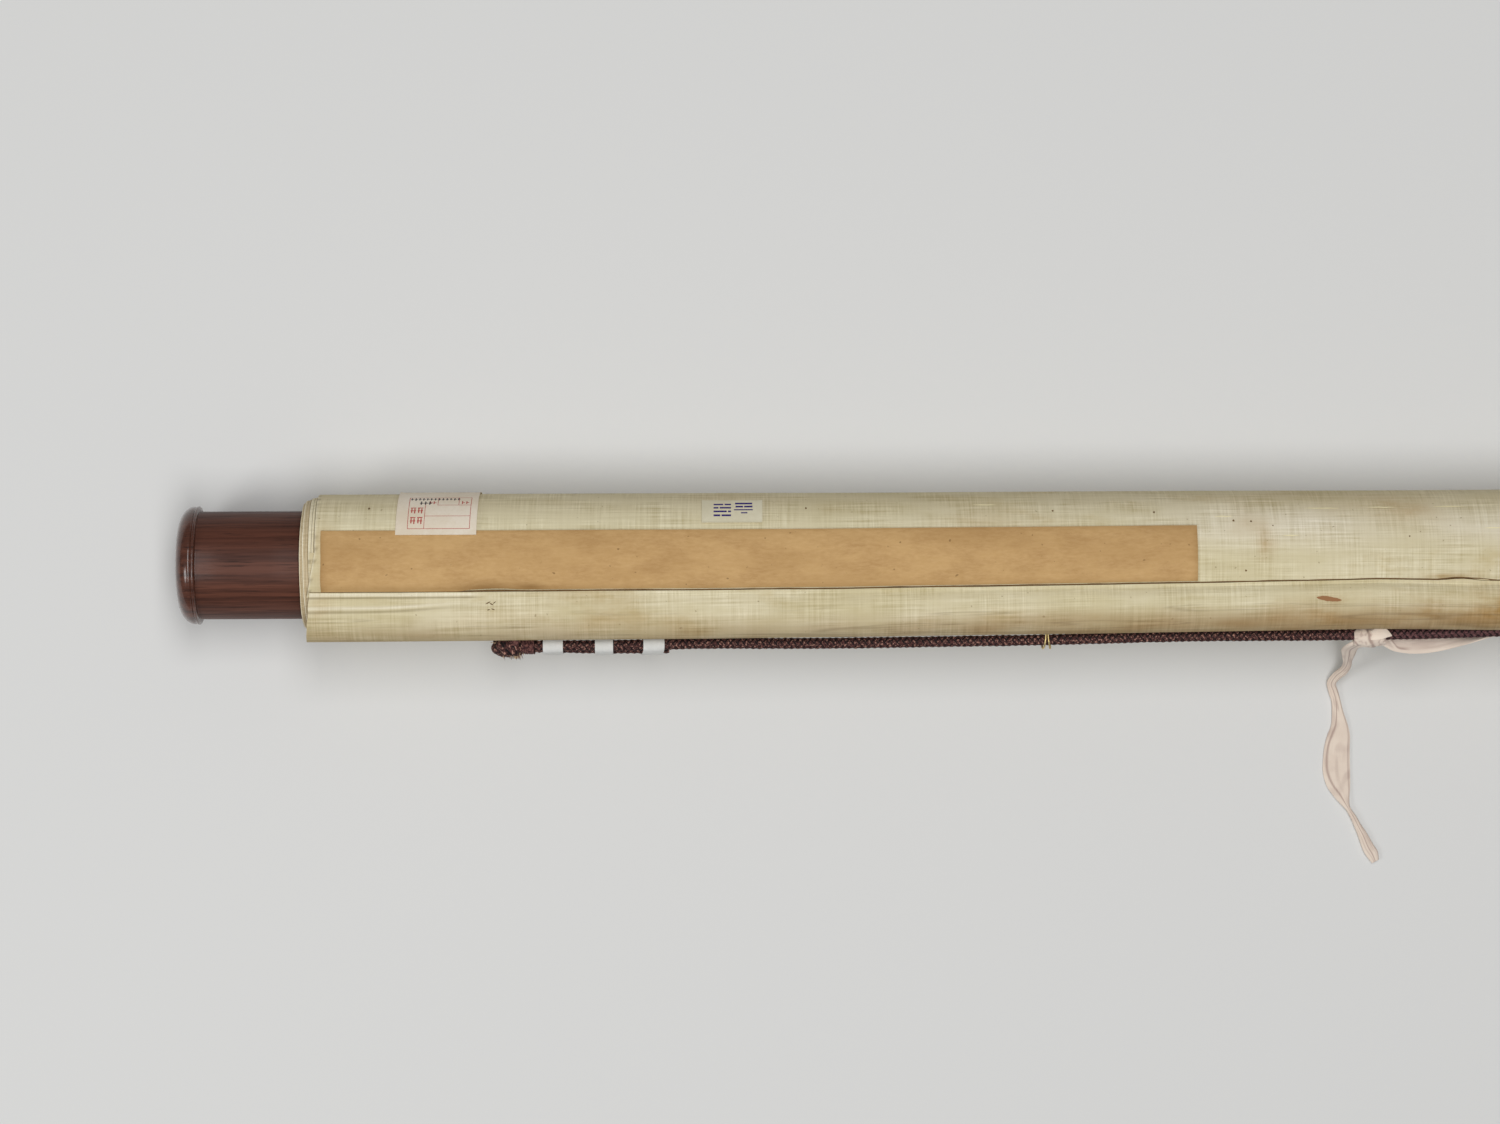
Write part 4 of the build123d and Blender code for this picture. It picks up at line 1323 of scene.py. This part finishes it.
def tail_relief(along, across):
    """Tape folded lengthwise: one layer over the other, with a step that wanders from side to side, painted
    shade along the step and the hem, and painted shade in patches and on the wrinkles.
    """
    fold = lerp(0.1, -0.62, hill(along, 45, 24)) + 0.2 * wander(along / 21, 3.3)
    ripple = wander(along / 5.5, across * 1.3, 2.0)
    wrinkles = 0.22 * ripple + 0.10 * wander(along / 14, across * 5.0, 6.0)
    shade = 0.85 * hill(across, fold - 0.1, 0.14) + 0.6 * hill(across, 0.86, 0.1)
    shade += 0.3 * rise(0.1, 0.5, wander(along / 16, across * 4, 6.6)) + 0.25 * rise(0.0, 0.5, ripple)
    return 0.42 * rise(fold - 0.07, fold + 0.07, across) + wrinkles, min(shade, 1.0)


def loop_relief(along, across):
    """Slack loop: wrinkled, with painted shade inside and none on its lower edge, and a hem that crosses it
    at the knot with a painted shadow line beside it.
    """
    hem = lerp(-0.9, 0.95, rise(0.5, 9.0, along))
    on_hem = hill(across, hem, 0.34) * rise(15, 9, along)
    wrinkles = 0.22 * wander(along / 11, across * 2.0, 4.0) + 0.14 * wander(along / 6, across * 8.0, 9.0)
    shade = 0.42 * rise(0.8, 0.55, across) * rise(62, 20, along)
    shade *= 0.5 + 0.5 * rise(-0.5, 0.5, wander(along / 5, across * 7.0, 1.5))
    shade = shade * (1 - on_hem) + 0.9 * hill(across, hem - 0.30, 0.12) * rise(14, 9, along)
    return 0.45 * on_hem + wrinkles, min(shade, 1.0)


def corner_relief(along, across):
    return 0.05 * across, 0.0


def knot_grid(builder, line):
    """Tape wrapped round the cord, its wraps lying over each other on a slant, with painted shade all over,
    more at the wraps' edges and in its creases.
    """
    sizes = [(0.0, 2.75, 2.85), (0.22, 3.6, 3.7), (0.55, 3.8, 3.8), (0.8, 3.65, 3.5), (1.0, 2.85, 2.75)]
    rows = []
    for share, wide, high in through(sizes, 48):
        x = lerp(-6.9, 4.9, share)
        centre_y, centre_z = strand_points(line, x)[1] - np.array((0.9, 0.4))
        row = []
        for k, turn in enumerate(circle(72)):
            wrap = (x / 6.2 + 0.35 * sin(turn + 0.6) + 0.12 * wander(turn * 1.2, x / 4)) % 1.0
            step = 0.42 * rise(0.0, 0.85, wrap) * rise(1.0, 0.9, wrap)
            crease = wander(x, turn * 2.6, 5.0)
            relief = step - 0.22 + 0.16 * wander(x / 1.6, turn * 2.2, 3.0) - 0.12 * crease
            # Painted shade at the wraps' edges and in the creases
            folds = 0.9 * hill(wrap, 0.02, 0.12) + 0.9 * hill(wrap, 1.0, 0.08)
            shade = min(0.2 + folds + 0.5 * rise(0.0, 0.5, crease), 1.0)
            row.append(((x, centre_y + (wide + relief) * cos(turn), centre_z + (high + relief) * sin(turn)),
                        (x, k * 0.32), (shade, 0, 0)))
        rows.append(row)
    builder.grid(rows, closed=True, flip=True, capped=True)


def make_tie(line):
    builder = Builder()
    tape_grid(builder, TIE_TAIL, 6, tail_relief)
    tape_grid(builder, TIE_LOOP, 12, loop_relief)
    knot_grid(builder, line)
    tape_grid(builder, TIE_CORNER, 6, corner_relief)
    return builder.piece("tie_tape", "tape", [TAPE], 50, "tone", "tie_ribbon")


bpy.context.scene.view_settings.view_transform = "Standard"
make_camera()
make_stage()
make_lights()
scroll = make_scroll()
make_title_slip()
make_corner_label()
make_stamp_label()
for side in (-1, 1):
    make_knob(side)
cord_piece, cord_line, cord_length = make_cord()
make_rings()
sleeves = make_bands(cord_line)
fibres = make_tufts()
tie = make_tie(cord_line)
for name in ("roller", "top_stave"):
    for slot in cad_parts[name].material_slots:
        slot.material = WOOD
[c * MM for c in CORD_ROUTE[0]]
[[c * MM for c in point] for point in cord_line[::3]]

visual_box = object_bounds()
[[list(map(float, corner)) for corner in box] for box in (cad_box, visual_box)]
